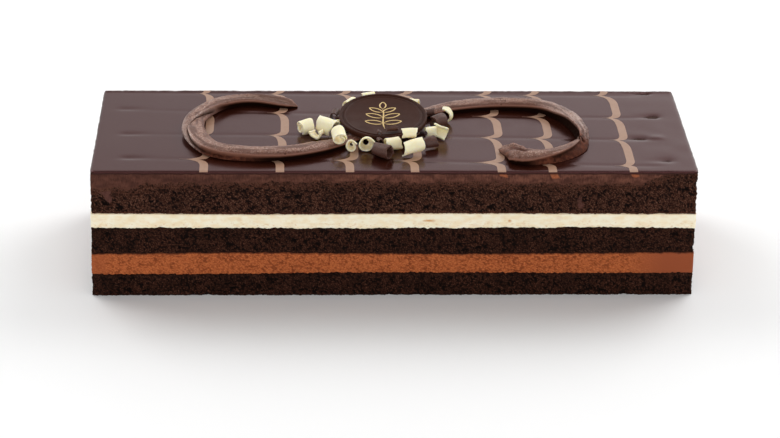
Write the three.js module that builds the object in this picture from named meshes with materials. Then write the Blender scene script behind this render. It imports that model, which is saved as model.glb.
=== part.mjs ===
// A layered chocolate mousse bar cake. Three dark sponges hold a milk and a white mousse between them, under
// a poured ganache top with a piped ganache scroll, a round chocolate plaque and rolled chocolate curls.
// Millimetres, +Z up. The origin is the middle of the underside, X runs along the bar, and -Y is the front.
import * as THREE from "three";

// The bar
const LENGTH = 280;
const DEPTH = 88;
const TOP = 65.5;
const LAYER_GRID_X = 16;
const LAYER_GRID_Y = 5;
const GANACHE_EDGE = 0.8;
// How much longer the bar is at its base than at its top, as a share
const BASE_SPREAD = 0.0135;

// Unevenness of the faces between layers: lengths that set its waves along and across the bar, its share
// along the bar, and the shift from one face to the next
const WAVE_ALONG = 31;
const WAVE_ACROSS = 17;
const WAVE_SKEW = 83;
const WAVE_SHARE_ALONG = 0.6;
const WAVE_SHIFT = 1.7;

// Layers from the bottom up: where each one ends, how uneven its upper face is, and how far its sides swell
const LAYERS = [
  { name: "sponge_bottom", top: 12.1, wave: 0.5, swell: -0.2, finish: "sponge" },
  { name: "mousse_milk", top: 22.7, wave: 0.5, swell: 0.3, finish: "milkMousse" },
  { name: "sponge_middle", top: 36.2, wave: 0.4, swell: -0.2, finish: "sponge" },
  { name: "mousse_white", top: 43.6, wave: 0.4, swell: 0.3, finish: "whiteMousse" },
  { name: "sponge_top", top: 58.1, wave: 0.8, swell: -0.2, finish: "sponge" },
  { name: "ganache_top", top: TOP, wave: 0, swell: 0.1, finish: "ganache" },
];

// The piped scroll: its route over the ganache from the pointed tail to the blunt end, and its width and
// height at shares of that route
const SCROLL_ROUTE = [
  [-45.2, 25], [-56, 28.2], [-70, 29.8], [-83.8, 23.4], [-93.2, 8.2], [-93.8, -9], [-85, -24.2],
  [-68, -29.4], [-50, -28.2], [-36, -22.9], [-22, -14], [8, 9.5], [22, 18.6], [39, 23.9], [56, 25.1],
  [72.8, 21.8], [84, 10], [89.2, -6.2], [87.6, -20], [76.5, -30], [62, -33], [50.6, -27],
];
const SCROLL_WIDTH = [
  [0, 1.5], [0.004, 4.5], [0.011, 7.8], [0.023, 9.7], [0.05, 9.2], [0.09, 8.6], [0.12, 9], [0.17, 10],
  [0.21, 11], [0.27, 10.2], [0.31, 10], [0.36, 10.4], [0.4, 10.8], [0.422, 9.4], [0.445, 7.8],
  [0.58, 8.2], [0.64, 9.2], [0.7, 9.2], [0.76, 8.8], [0.81, 8.4], [0.84, 7], [0.86, 6], [0.9, 7.4],
  [0.945, 8.4], [0.97, 12.4], [0.99, 13.2], [1, 9],
];
const SCROLL_HEIGHT = [
  [0, 1.2], [0.02, 3.6], [0.05, 4.6], [0.14, 5.4], [0.34, 5.2], [0.4, 4.4], [0.445, 2.6], [0.465, 3], [0.55, 3],
  [0.57, 2.6], [0.62, 4.2], [0.74, 5.2], [0.85, 6.2], [0.91, 5.4], [0.96, 5.5], [0.985, 5.4], [1, 3.4],
];
// How far its top falls towards the front and the back edge, and to both sides where the route turns across
// the bar, as shares of the height
const SCROLL_FRONT_FALL = 0.46;
const SCROLL_BACK_FALL = 0.26;
const SCROLL_CROWN = 0.14;
// Near the blunt end, the lean to the front grows by a share, and the front side lags behind by a distance
const SCROLL_END_LEAN = 0.35;
const SCROLL_END_SKEW = 3.4;
const SCROLL_END_FROM = 0.95;
const SCROLL_STATIONS = 56;
const SCROLL_CROWDING = 0.5;
// Half of the section, from the middle of the foot out over the lip to the middle of the top:
// shares of the half width and of the height
const SCROLL_HALF_SECTION = [
  [0.7, 0], [0.84, 0.36], [1, 0.74], [0.93, 0.95], [0.4, 1],
];

// The plaque: a disc with a raised rim, resting on the scroll and leaning a little to the front
const PLAQUE_RADIUS = 21;
const PLAQUE_THICKNESS = 2.8;
const PLAQUE_RIM_WIDTH = 1.5;
const PLAQUE_RIM_HEIGHT = 0.5;
const PLAQUE_BEVEL = 0.4;
const PLAQUE_CENTRE = [-4.6, 2.3];
const PLAQUE_FOOT = 4.3;
const PLAQUE_LEAN = 4;
const PLAQUE_SIDES = 40;

// Curls: thin shavings rolled into a spiral. Small ones are thinner.
const CURL_THICKNESS = 0.75;
const CURL_THICKNESS_SHARE = 0.22;
const CURL_GAP = 0.5;
const CURL_FLARE = 0.1;
const CURL_STEPS_PER_TURN = 12;
const CURL_CLEARANCE = 0.3;

// Each curl: the middle of its axis in plan, the way its axis points (degrees round from +X, and up), its
// roll about that axis, outer radius, length and turns. foot is the height of its lowest point above the
// ganache, given where it lies on another piece, and flare how much it widens towards its far end.
const WHITE_CURLS = [
  { at: [-41.6, -3.2], round: 208, roll: 40, radius: 3.6, length: 6.8, turns: 1.5, flare: -0.12 },
  { at: [-35.8, -8.6], round: -112, up: 12, roll: 262, radius: 3.5, length: 4.6, turns: 0.62, flare: 0.3 },
  { at: [-31.8, -2.4], round: -28, up: -10, roll: 100, radius: 5.1, length: 8.6, turns: 0.53, flare: 0.15 },
  { at: [-26.2, -19.2], foot: 2.95, round: -78, up: -16, roll: 70, radius: 3.9, length: 6.8, turns: 1.3 },
  { at: [-19.9, -21.6], round: -96, up: 10, roll: 120, radius: 3.4, length: 4.6, turns: 1.15, flare: 0.5 },
  { at: [-13, -20.8], round: -88, up: 10, roll: 95, radius: 4.3, length: 5.4, turns: 1.2, flare: 0.45 },
  { at: [-0.8, -21.7], round: 198, roll: 290, radius: 3.6, length: 8, turns: 1.2, flare: 0.05 },
  { at: [6.8, -20.6], foot: 6, round: 8, roll: 170, radius: 2.8, length: 7, turns: 0.6 },
  { at: [8.3, -26.2], round: 22, up: 7, roll: 158, radius: 3.6, length: 10.8, turns: 0.5, flare: 0.05 },
  { at: [20.6, -10.4], round: -24, up: -8, roll: 8, radius: 3.9, length: 8.2, turns: 0.5 },
  { at: [25, 7.4], round: 70, roll: 165, radius: 4.5, length: 3.4, turns: 0.58 },
  { at: [-19.8, 21.4], round: 50, roll: 0, radius: 3.2, length: 6.4, turns: 1.2 },
  { at: [-10.6, 28.4], round: 10, roll: 90, radius: 3.6, length: 6.4, turns: 1.1 },
  { at: [11.2, 24.4], round: -20, roll: 45, radius: 2.9, length: 5.4, turns: 1.2 },
];
const DARK_CURLS = [
  { at: [-27.2, 12.4], round: 75, roll: 30, radius: 2.5, length: 5.6, turns: 0.85 },
  { at: [-6.8, -17.6], foot: 6.1, round: -80, roll: 200, radius: 1.5, length: 3, turns: 1.1 },
  { at: [-5.8, -29.2], round: -32, roll: 60, radius: 4, length: 8.2, turns: 1.25, flare: 0.15 },
  { at: [-0.8, -13.4], foot: 6, round: 20, roll: 215, radius: 2.1, length: 5.6, turns: 0.6, flare: 0.15 },
  { at: [17.4, -18.6], round: 20, roll: 130, radius: 3.4, length: 6.6, turns: 0.55, flare: 0.3 },
  { at: [21.8, 1.4], round: 40, roll: 140, radius: 3.9, length: 6.4, turns: 1.3 },
  { at: [17.9, 9.4], foot: 3.2, round: 15, roll: 150, radius: 1.9, length: 4.4, turns: 0.7 },
];

const FINISHES = {
  sponge: new THREE.MeshStandardMaterial({ color: 0x2a150d, roughness: 0.95, metalness: 0 }),
  milkMousse: new THREE.MeshStandardMaterial({ color: 0x8c482b, roughness: 0.75, metalness: 0 }),
  whiteMousse: new THREE.MeshStandardMaterial({ color: 0xeedfc4, roughness: 0.7, metalness: 0 }),
  ganache: new THREE.MeshStandardMaterial({ color: 0x3f2620, roughness: 0.3, metalness: 0 }),
  pipedGanache: new THREE.MeshStandardMaterial({ color: 0x583930, roughness: 0.5, metalness: 0 }),
  plaque: new THREE.MeshStandardMaterial({ color: 0x2c1812, roughness: 0.35, metalness: 0 }),
  whiteCurl: new THREE.MeshStandardMaterial({ color: 0xf2ebc8, roughness: 0.5, metalness: 0 }),
  darkCurl: new THREE.MeshStandardMaterial({ color: 0x35211b, roughness: 0.5, metalness: 0 }),
};

const radians = THREE.MathUtils.degToRad;

function namedMesh(name, geometry, finish) {
  const mesh = new THREE.Mesh(geometry, FINISHES[finish]);
  mesh.name = name;
  return mesh;
}

function solid(positions, triangles) {
  const geometry = new THREE.BufferGeometry();
  geometry.setAttribute("position", new THREE.Float32BufferAttribute(positions, 3));
  geometry.setIndex(triangles);
  geometry.computeVertexNormals();
  return geometry;
}

// Two triangles that meet on the line from a to c
function addQuad(triangles, a, b, c, d) {
  triangles.push(a, b, c, a, c, d);
}

// Straight-line reading of a table of [share, value] pairs
function along(table, share) {
  const next = table.findIndex(([at]) => at >= share);
  if (next <= 0) return table[0][1];
  const [lowShare, low] = table[next - 1];
  const [highShare, high] = table[next];
  return THREE.MathUtils.mapLinear(share, lowShare, highShare, low, high);
}

// Height of an uneven face between two layers
function faceHeight({ z, wave, phase }, x, y) {
  const alongBar = Math.sin(x / WAVE_ALONG + phase);
  const acrossBar = Math.sin(y / WAVE_ACROSS + x / WAVE_SKEW + 2 * phase);
  return z + wave * THREE.MathUtils.lerp(acrossBar, alongBar, WAVE_SHARE_ALONG);
}

// How much longer the bar is at a height than at its top
function spread(z) {
  return 1 + BASE_SPREAD * (1 - z / TOP);
}

// A layer between two faces. Both faces use one grid, so that a layer's top is exactly the next one's bottom.
// sideRings are the rings of points between them: a share of the height and how far each stands out.
function layerGeometry(lowFace, highFace, sideRings, topInset) {
  const positions = [];
  const triangles = [];
  const columns = LAYER_GRID_X + 1;
  const rows = LAYER_GRID_Y + 1;

  function addFace(face, inset) {
    const first = positions.length / 3;
    for (let j = 0; j < rows; j += 1) {
      for (let i = 0; i < columns; i += 1) {
        const x = (i / LAYER_GRID_X - 0.5) * (LENGTH - 2 * inset);
        const y = (j / LAYER_GRID_Y - 0.5) * (DEPTH - 2 * inset);
        const z = faceHeight(face, x, y);
        positions.push(x * spread(z), y, z);
      }
    }
    return first;
  }

  // Points round the edge of the grid, anticlockwise from above, as column and row
  const edge = [];
  for (let i = 0; i < LAYER_GRID_X; i += 1) edge.push([i, 0]);
  for (let j = 0; j < LAYER_GRID_Y; j += 1) edge.push([LAYER_GRID_X, j]);
  for (let i = LAYER_GRID_X; i > 0; i -= 1) edge.push([i, LAYER_GRID_Y]);
  for (let j = LAYER_GRID_Y; j > 0; j -= 1) edge.push([0, j]);

  const lowFirst = addFace(lowFace, 0);
  const highFirst = addFace(highFace, topInset);
  const rings = [edge.map(([i, j]) => lowFirst + j * columns + i)];
  for (const { share, out } of sideRings) {
    const ring = edge.map(([i, j]) => {
      const x = (i / LAYER_GRID_X - 0.5) * LENGTH;
      const y = (j / LAYER_GRID_Y - 0.5) * DEPTH;
      const z = THREE.MathUtils.lerp(faceHeight(lowFace, x, y), faceHeight(highFace, x, y), share);
      const outX = i === 0 ? -out : i === LAYER_GRID_X ? out : 0;
      const outY = j === 0 ? -out : j === LAYER_GRID_Y ? out : 0;
      positions.push(x * spread(z) + outX, y + outY, z);
      return positions.length / 3 - 1;
    });
    rings.push(ring);
  }
  rings.push(edge.map(([i, j]) => highFirst + j * columns + i));

  for (let j = 0; j < LAYER_GRID_Y; j += 1) {
    for (let i = 0; i < LAYER_GRID_X; i += 1) {
      const corner = j * columns + i;
      const [a, b, c, d] = [corner, corner + 1, corner + columns + 1, corner + columns];
      addQuad(triangles, highFirst + a, highFirst + b, highFirst + c, highFirst + d);
      addQuad(triangles, lowFirst + a, lowFirst + d, lowFirst + c, lowFirst + b);
    }
  }
  for (let k = 0; k + 1 < rings.length; k += 1) {
    for (let p = 0; p < edge.length; p += 1) {
      const q = (p + 1) % edge.length;
      addQuad(triangles, rings[k][p], rings[k][q], rings[k + 1][q], rings[k + 1][p]);
    }
  }
  return solid(positions, triangles);
}

function cakeLayers() {
  let lowFace = { z: 0, wave: 0, phase: 0 };
  return LAYERS.map(({ name, top, wave, swell, finish }, index) => {
    const highFace = { z: top, wave, phase: WAVE_SHIFT * (index + 1) };
    const isTop = index === LAYERS.length - 1;
    const sideRings = [{ share: 0.5, out: swell }];
    if (isTop) sideRings.push({ share: 1 - GANACHE_EDGE / (top - lowFace.z), out: 0 });
    const geometry = layerGeometry(lowFace, highFace, sideRings, isTop ? GANACHE_EDGE : 0);
    lowFace = highFace;
    return namedMesh(name, geometry, finish);
  });
}

// One ring of the scroll: the half section and its mirror image, with the top falling to the front and back
function scrollRing(curve, share) {
  const centre = curve.getPointAt(share);
  const tangent = curve.getTangentAt(share);
  const [acrossX, acrossY] = [-tangent.y, tangent.x];
  const halfWidth = along(SCROLL_WIDTH, share) / 2;
  const height = along(SCROLL_HEIGHT, share);
  const crown = SCROLL_CROWN * (1 - acrossY * acrossY);
  const ending = THREE.MathUtils.smoothstep(share, SCROLL_END_FROM, 1);
  const mirrored = SCROLL_HALF_SECTION.map(([out, up]) => [-out, up]).reverse();
  return [...SCROLL_HALF_SECTION, ...mirrored].map(([out, up]) => {
    const across = out * halfWidth;
    const back = out * acrossY;
    const fall = (back < 0 ? SCROLL_FRONT_FALL : SCROLL_BACK_FALL) * back * back + crown * out * out;
    const lift = height * (1 - fall + SCROLL_END_LEAN * ending * back);
    const lag = -SCROLL_END_SKEW * ending * out;
    const x = centre.x + acrossX * across + tangent.x * lag;
    const y = centre.y + acrossY * across + tangent.y * lag;
    return [x, y, TOP + up * lift];
  });
}

function scrollGeometry() {
  const route = SCROLL_ROUTE.map(([x, y]) => new THREE.Vector3(x, y, 0));
  const curve = new THREE.CatmullRomCurve3(route, false, "centripetal");
  const positions = [];
  const triangles = [];
  const ringSize = 2 * SCROLL_HALF_SECTION.length;
  for (let s = 0; s <= SCROLL_STATIONS; s += 1) {
    // Stations crowd towards both ends, where the section changes most
    const even = s / SCROLL_STATIONS;
    const share = even - (SCROLL_CROWDING / (2 * Math.PI)) * Math.sin(2 * Math.PI * even);
    positions.push(...scrollRing(curve, share).flat());
  }
  for (let s = 0; s < SCROLL_STATIONS; s += 1) {
    for (let p = 0; p < ringSize; p += 1) {
      const q = (p + 1) % ringSize;
      const [a, b] = [s * ringSize + p, s * ringSize + q];
      addQuad(triangles, a, b, b + ringSize, a + ringSize);
    }
  }
  const lastRing = SCROLL_STATIONS * ringSize;
  for (let p = 1; p + 1 < ringSize; p += 1) {
    triangles.push(0, p + 1, p);
    triangles.push(lastRing, lastRing + p, lastRing + p + 1);
  }
  return solid(positions, triangles);
}

function plaqueGeometry() {
  const rimInside = PLAQUE_RADIUS - PLAQUE_RIM_WIDTH;
  const floor = PLAQUE_THICKNESS - PLAQUE_RIM_HEIGHT;
  const profile = [
    [0, 0],
    [PLAQUE_RADIUS - PLAQUE_BEVEL, 0],
    [PLAQUE_RADIUS, PLAQUE_BEVEL],
    [PLAQUE_RADIUS, PLAQUE_THICKNESS - PLAQUE_BEVEL],
    [PLAQUE_RADIUS - PLAQUE_BEVEL, PLAQUE_THICKNESS],
    [rimInside, PLAQUE_THICKNESS],
    [rimInside - PLAQUE_RIM_HEIGHT, floor],
    [0, floor],
  ];
  const points = profile.map(([radius, height]) => new THREE.Vector2(radius, height));
  return new THREE.LatheGeometry(points, PLAQUE_SIDES).rotateX(Math.PI / 2);
}

function plaque() {
  const mesh = namedMesh("plaque", plaqueGeometry(), "plaque");
  mesh.position.set(PLAQUE_CENTRE[0], PLAQUE_CENTRE[1], TOP + PLAQUE_FOOT);
  mesh.rotation.x = radians(PLAQUE_LEAN);
  return mesh;
}

// A rolled shaving about the X axis: a spiral band, wider at its far end by the flare
function curlGeometry({ radius, length, turns, flare = CURL_FLARE }) {
  const steps = Math.ceil(turns * CURL_STEPS_PER_TURN);
  const thickness = Math.min(CURL_THICKNESS, CURL_THICKNESS_SHARE * radius);
  const outer = [];
  const inner = [];
  for (let s = 0; s <= steps; s += 1) {
    const angle = (s / CURL_STEPS_PER_TURN) * 2 * Math.PI;
    const outside = radius - ((thickness + CURL_GAP) * s) / CURL_STEPS_PER_TURN;
    const inside = outside - thickness;
    outer.push(new THREE.Vector2(outside * Math.cos(angle), outside * Math.sin(angle)));
    inner.push(new THREE.Vector2(inside * Math.cos(angle), inside * Math.sin(angle)));
  }
  const band = new THREE.Shape([...outer, ...inner.reverse()]);
  const geometry = new THREE.ExtrudeGeometry(band, { depth: length, steps: 1, bevelEnabled: false });
  geometry.translate(0, 0, -length / 2);
  geometry.rotateY(Math.PI / 2);
  const points = geometry.getAttribute("position");
  for (let p = 0; p < points.count; p += 1) {
    const scale = 1 + flare * (points.getX(p) / length - 0.5);
    points.setY(p, points.getY(p) * scale);
    points.setZ(p, points.getZ(p) * scale);
  }
  return geometry;
}

function curl(name, finish, placing) {
  const mesh = namedMesh(name, curlGeometry(placing), finish);
  const { at, round, roll, up = 0, foot = CURL_CLEARANCE } = placing;
  mesh.rotation.set(radians(roll), -radians(up), radians(round), "ZYX");
  const lowest = new THREE.Box3().setFromObject(mesh, true).min.z;
  mesh.position.set(at[0], at[1], TOP + foot - lowest);
  return mesh;
}

function curls(prefix, finish, placings) {
  return placings.map((placing, index) => {
    const number = String(index + 1).padStart(2, "0");
    return curl(prefix + "_" + number, finish, placing);
  });
}

const cake = new THREE.Group();
cake.name = "mousse_bar_cake";
cake.add(...cakeLayers());
cake.add(namedMesh("piped_scroll", scrollGeometry(), "pipedGanache"));
cake.add(plaque());
cake.add(...curls("white_curl", "whiteCurl", WHITE_CURLS));
cake.add(...curls("dark_curl", "darkCurl", DARK_CURLS));

export default cake;
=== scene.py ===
"""The looks of a layered chocolate mousse bar cake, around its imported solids.

Three dark sponges hold a milk and a white mousse, under a poured ganache with feathered icing lines, a piped
scroll, a round plaque and rolled chocolate shavings. Tables and formulas are in millimetres, with the origin
in the middle of the underside, X along the bar and -Y to the front. Meshes are in metres, as the frame is.
"""
import itertools
import math
from typing import NamedTuple

import bpy
import numpy as np
from mathutils import Matrix, Vector


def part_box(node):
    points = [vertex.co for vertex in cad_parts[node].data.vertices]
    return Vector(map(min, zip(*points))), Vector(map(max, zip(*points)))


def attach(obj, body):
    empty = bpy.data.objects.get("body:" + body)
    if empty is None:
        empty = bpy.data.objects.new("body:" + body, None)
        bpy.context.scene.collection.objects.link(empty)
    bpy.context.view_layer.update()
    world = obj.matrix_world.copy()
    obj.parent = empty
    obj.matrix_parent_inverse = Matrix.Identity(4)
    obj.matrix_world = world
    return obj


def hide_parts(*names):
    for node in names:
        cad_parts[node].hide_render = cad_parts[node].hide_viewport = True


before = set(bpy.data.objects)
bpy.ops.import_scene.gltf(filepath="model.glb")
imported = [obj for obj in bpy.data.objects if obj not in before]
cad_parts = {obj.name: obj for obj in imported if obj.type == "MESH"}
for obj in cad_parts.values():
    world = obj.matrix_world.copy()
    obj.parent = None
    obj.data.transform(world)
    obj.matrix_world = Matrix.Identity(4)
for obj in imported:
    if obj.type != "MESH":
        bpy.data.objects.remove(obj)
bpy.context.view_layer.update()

MM = 0.001

# The bar, from its packed layers, and its length at the top
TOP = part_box("ganache_top")[1].z / MM
HALF_LENGTH = 140.0
HALF_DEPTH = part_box("sponge_middle")[1].y / MM
CORNER = 0.7
# How much longer the bar is at its base than at its top, as a share
SIDE_LEAN = 0.0135
# How far in an open edge is turned before it is closed, as a share along X, Y and Z
RIM_INWARDS = (0.97, 0.92, 1)

# The seams between layers, from the bottom up: height, wave, and how ragged the cut is, coarse and fine
SEAMS = [
    {"height": 0.0, "wave": 0.0, "coarse": 0.0, "fine": 0.25},
    {"height": 12.1, "wave": 0.5, "coarse": 0.12, "fine": 0.3},
    {"height": 22.7, "wave": 0.5, "coarse": 0.2, "fine": 0.22},
    {"height": 36.2, "wave": 0.4, "coarse": 0.15, "fine": 0.34},
    {"height": 43.6, "wave": 0.4, "coarse": 0.12, "fine": 0.12},
    {"height": 58.1, "wave": 0.8, "coarse": 0.8, "fine": 0.3},
]
WAVE_ALONG = 31.0
WAVE_ACROSS = 17.0
WAVE_SKEW = 83.0
WAVE_SHARE_ALONG = 0.6
WAVE_SHIFT = 1.7
# Sizes of the lumps in a ragged cut, and the share of the finest
SEAM_COARSE = 4.5
SEAM_FINE = 1.5
SEAM_FINEST = 0.8
SEAM_FINEST_SHARE = 0.6
# The top seam near the front face: it dips at the left end, and comes up under the glaze at the right end
TOP_SEAM_FRONT = (-34, -43)
TOP_SEAM_DIP = 2.6
TOP_SEAM_DIP_SPAN = (-113, -122)
TOP_SEAM_UNDER_GLAZE = 1.2
TOP_SEAM_RISE_SPAN = (112, 134)

# The fine grid on the walls: cuts along X and along Y, each in two goes, of edges over a length, and the
# height of a row. A wall starts one metre high, so its uprights are the edges over half a metre.
CUTS_ALONG = (19, 30)
CUTS_ACROSS = (13, 13)
CUT_OVER = 2
UPRIGHT_OVER = 0.5 / MM
GRID_STEP = 0.45

# Relief of the cut sponge: height of crumbs and clumps, depth of bubbles, and how deep the crumbs sit
CRUMB_HEIGHT = 0.42
CLUMP_HEIGHT = 0.2
BUBBLE_DEPTH = 0.7
CRUMB_SINK = 0.34
# How far behind the front face the marks on it start to show, and show in full
FRONT_SKIN = (1.5, 0.5)
# Ganache that the knife dragged down the front: a tongue near the left end, by the X and Z of its root, lean,
# tip, half width there and widening upwards, and a faint streak, by the X and Z of its middle and half sizes
TONGUE_X = -133.6
TONGUE_Z = 56
TONGUE_LEAN = 0.35
TONGUE_TIP = 49
TONGUE_TIP_SPAN = (50.5, 48.5)
TONGUE_TIP_HALF = 0.8
TONGUE_WIDENING = 0.42
TONGUE_HEIGHT = 8
STREAK_MIDDLE = (86, 49)
STREAK_HALF = (2.2, 6.5)
STREAK_SHARE = 0.45
# Relief of the milk mousse, and where the knife smoothed it: at the right end near the front, and at the left
MILK_GRAIN = 0.38
MILK_SINK = 0.2
MILK_SMOOTH_RIGHT = (104, 128)
MILK_SMOOTH_FRONT = (-30, -43)
MILK_SMOOTH_LEFT = (-128, -138)
# Dents in the front of the white mousse: X, Z, half length and half height
WHITE_DENTS = [(15.8, 39.9, 3.6, 0.7), (53.2, 39.8, 1.0, 0.9)]
WHITE_DENT_DEPTH = 0.5
# Icing that ran over the front edge
DRIP_HALF = 1.9
DRIP_LEAN = 0.4
DRIP_HEIGHT = 0.2
# The cut ganache: the heights over the seam between which it gives way to sponge, the depths under the top
# between which it draws back below the lip, how far it does, and the stretch along which it darkens
GANACHE_TO_SPONGE = (3.2, 0.2)
UNDER_LIP = (1.7, 0.6)
UNDER_LIP_DEPTH = 0.1
GANACHE_DARKENS = (20, -130)

# The poured glaze: thickness of its skin, cells along X and Y, and low swells, with more at the right end
GLAZE_SKIN = 0.9
GLAZE_CELLS = (350, 110)
GLAZE_SWELL = 0.05
GLAZE_SWELL_SIZE = 22
GLAZE_MOTTLE = 0.1
GLAZE_MOTTLE_SIZE = 8
GLAZE_MOTTLE_SPAN = (100, 130)
# Its rounded edge, the ridge that it left along the back, and its rim: width, raggedness and cut corners
GLAZE_EDGE_DROP = 0.3
GLAZE_EDGE_WIDTH = 1.4
BACK_RIDGE = 0.35
BACK_RIDGE_ROUGH = 0.12
BACK_RIDGE_SPAN = (2.2, 0.4)
GLAZE_RIM = 1
GLAZE_RIM_OUT = 0.1
GLAZE_RIM_ROUGH = 0.12
GLAZE_CORNER = 2
GLAZE_CORNER_CUT = 0.25
# The lip below its rim: depths under the top between which it gets ragged, and between which it turns dull
LIP_ROUGH = 0.3
LIP_ROUGH_SPAN = (0.3, 0.8)
LIP_DULL_SPAN = (0.25, 0.5)
# The four drags of the comb: distance from the middle of the bar at three places along it, depth, half width,
# where they start and stop, and how faint they are at the left
DRAG_STATIONS = (-130.0, 0.0, 110.0)
DRAGS = [
    (-30.5, -32.5, -38.0),
    (-4.8, -6.3, -10.6),
    (22.0, 16.5, 13.5),
    (41.0, 40.0, 39.0),
]
DRAG_DEPTH = 0.14
DRAG_HALF = 1.5
DRAG_SPAN = (-136, -124, 118, 130)
DRAG_FAINT = 0.2
DRAG_GROWS = (-136, -60)
# Where the comb went in, on the right, and came out, on the left: X, Y, depth, half length and half width.
# Each is long towards the middle of the bar and short outwards, and steeper at the front than behind. The one
# with a depth below 0 is a bump.
DIMPLE_INWARD, DIMPLE_OUTWARD, DIMPLE_BEHIND, DIMPLE_BEFORE = 1.8, 0.65, 1.3, 0.75
DIMPLES = [
    (127.6, 14.6, 0.6, 4.0, 2.0),
    (119.0, -9.0, 0.6, 4.6, 2.1),
    (127.6, -32.8, 0.38, 4.6, 2.2),
    (127.0, 41.0, 0.45, 4.0, 1.6),
    (126.0, -8.4, -0.34, 4.4, 2.2),
    (-129.0, 22.8, 0.22, 5.0, 1.7),
    (-126.0, -4.7, 0.25, 5.0, 1.7),
    (-124.0, -30.0, 0.3, 5.0, 1.7),
]

# Feathered lines: X at the front edge, of the tip on each drag, and of the bow behind each drag, and how far
# the line ran down the front
FEATHERS = [
    {"front": -88.3, "tips": (-100, -97.0, -97.0, -95.0), "bows": (-87.4, -87.0, -87.7, -88.5), "drip": 0.0},
    {"front": -53.3, "tips": (-63.0, -60.8, -60.0, -61.5), "bows": (-52.3, -51.3, -51.9, -52.5), "drip": 0.0},
    {"front": -21.1, "tips": (-30.4, -28.5, -28.0, -28.5), "bows": (-18.8, -18.5, -19.0, -20.0), "drip": 0.0},
    {"front": 8.8, "tips": (-0.9, 0.5, 1.0, 0.0), "bows": (10.7, 11.0, 10.8, 10.5), "drip": 0.0},
    {"front": 48.9, "tips": (34.0, 39.0, 39.0, 39.2), "bows": (49.3, 50.3, 50.2, 49.5), "drip": 2.6},
    {"front": 72.5, "tips": (62.0, 63.7, 63.0, 63.0), "bows": (73.1, 73.9, 73.6, 73.0), "drip": 3.2},
    {"front": 110.0, "tips": (101.8, 102.6, 101.8, 99.0), "bows": (109.8, 109.8, 109.5, 107.0), "drip": 2.6},
]
FEATHER_WIDTH = 3.9
FEATHER_TIP_WIDTH = 0.5
FEATHER_LIFT = 0.05
FEATHER_OVERRUN = 1
FEATHER_THIN = 0.85
# A bow is a foot, a shaft and a head: the number of points in each, where the shaft begins and ends and where
# the other handles on it are, as shares of the way between two drags, and how far the foot and the head reach
BOW_STEPS = (12, 8, 32)
BOW_SHAFT = (0.2, 0.55)
BOW_HANDLES = (0.06, 0.3, 0.4, 0.86)
BOW_FOOT_FROM = 0.25
BOW_FOOT_REACH = 1.6
BOW_HEAD_REACH = 0.3

# The piped scroll, as its solid: route, width and height along it
SCROLL_ROUTE = [
    (-45.2, 25), (-56, 28.2), (-70, 29.8), (-83.8, 23.4), (-93.2, 8.2), (-93.8, -9), (-85, -24.2),
    (-68, -29.4), (-50, -28.2), (-36, -22.9), (-22, -14), (8, 9.5), (22, 18.6), (39, 23.9), (56, 25.1),
    (72.8, 21.8), (84, 10), (89.2, -6.2), (87.6, -20), (76.5, -30), (62, -33), (50.6, -27),
]
SCROLL_WIDTH = [
    (0, 1.5), (0.004, 4.5), (0.011, 7.8), (0.023, 9.7), (0.05, 9.2), (0.09, 8.6), (0.12, 9), (0.17, 10),
    (0.21, 11), (0.27, 10.2), (0.31, 10), (0.36, 10.4), (0.4, 10.8), (0.422, 9.4), (0.445, 7.8),
    (0.58, 8.2), (0.64, 9.2), (0.7, 9.2), (0.76, 8.8), (0.81, 8.4), (0.84, 7), (0.86, 6), (0.9, 7.4),
    (0.945, 8.4), (0.97, 12.4), (0.99, 13.2), (1, 10.5),
]
SCROLL_HEIGHT = [
    (0, 2.0), (0.02, 3.6), (0.05, 4.6), (0.14, 5.4), (0.34, 5.2), (0.4, 4.4), (0.445, 2.6), (0.465, 3),
    (0.55, 3), (0.57, 2.6), (0.62, 4.2), (0.74, 5.2), (0.85, 6.2), (0.91, 5.4), (0.96, 5.5), (0.985, 5.4),
    (1, 4.2),
]
# Over what share of the route it swells at its ends, and its width and height there, as shares
SCROLL_SWELLS = 0.012
SCROLL_TIP = 0.0005
SCROLL_TIP_WIDTH = 0.3
SCROLL_TIP_HEIGHT = 0.15
# How far its top falls towards the front and the back edge, and to both sides where it runs across the bar
SCROLL_FRONT_FALL = 0.46
SCROLL_BACK_FALL = 0.26
SCROLL_CROWN = 0.14
# Near the blunt end, the lean to the front grows by a share, and the front side lags behind by a distance
SCROLL_END_LEAN = 0.35
SCROLL_END_SKEW = 3.4
SCROLL_END_FROM = 0.95
SCROLL_STATIONS = 1100
ROUTE_FINE_STEPS = 60
# The crest that the nozzle left: where it runs, from the right of the route (-1) to the left (1), and the
# strips to the right and left of it: height beside the crest and at the edge, and how far out the edge is
SCROLL_CREST = [
    (0, 0.96), (0.108, 0.96), (0.143, 0.7), (0.164, 0.38), (0.184, -0.03), (0.203, -0.42), (0.232, -0.72),
    (0.25, -0.8), (0.3, -0.88), (0.35, -0.96), (0.78, -0.96), (0.837, -0.6), (0.868, -0.39), (0.885, 0.1),
    (0.905, 0.42), (0.925, 0.66), (0.945, 0.88), (0.96, 0.94), (0.985, 0.96), (1, 0.96),
]
SCROLL_RIGHT_STRIP = [
    (0, 1, 1, 1), (0.17, 1, 1, 1), (0.2, 0.95, 0.85, 1), (0.22, 0.85, 0.7, 1), (0.24, 0.68, 0.5, 1),
    (0.26, 0.55, 0.35, 1), (0.29, 0.5, 0.2, 0.98), (0.33, 0.6, 0.1, 0.85), (0.36, 0.7, 0.08, 0.76),
    (0.78, 0.7, 0.08, 0.76), (0.8, 0.75, 0.1, 0.85), (0.85, 0.8, 0.2, 1), (0.87, 0.8, 0.45, 1),
    (0.885, 0.95, 0.9, 1), (0.9, 1, 1, 1), (1, 1, 1, 1),
]
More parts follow.
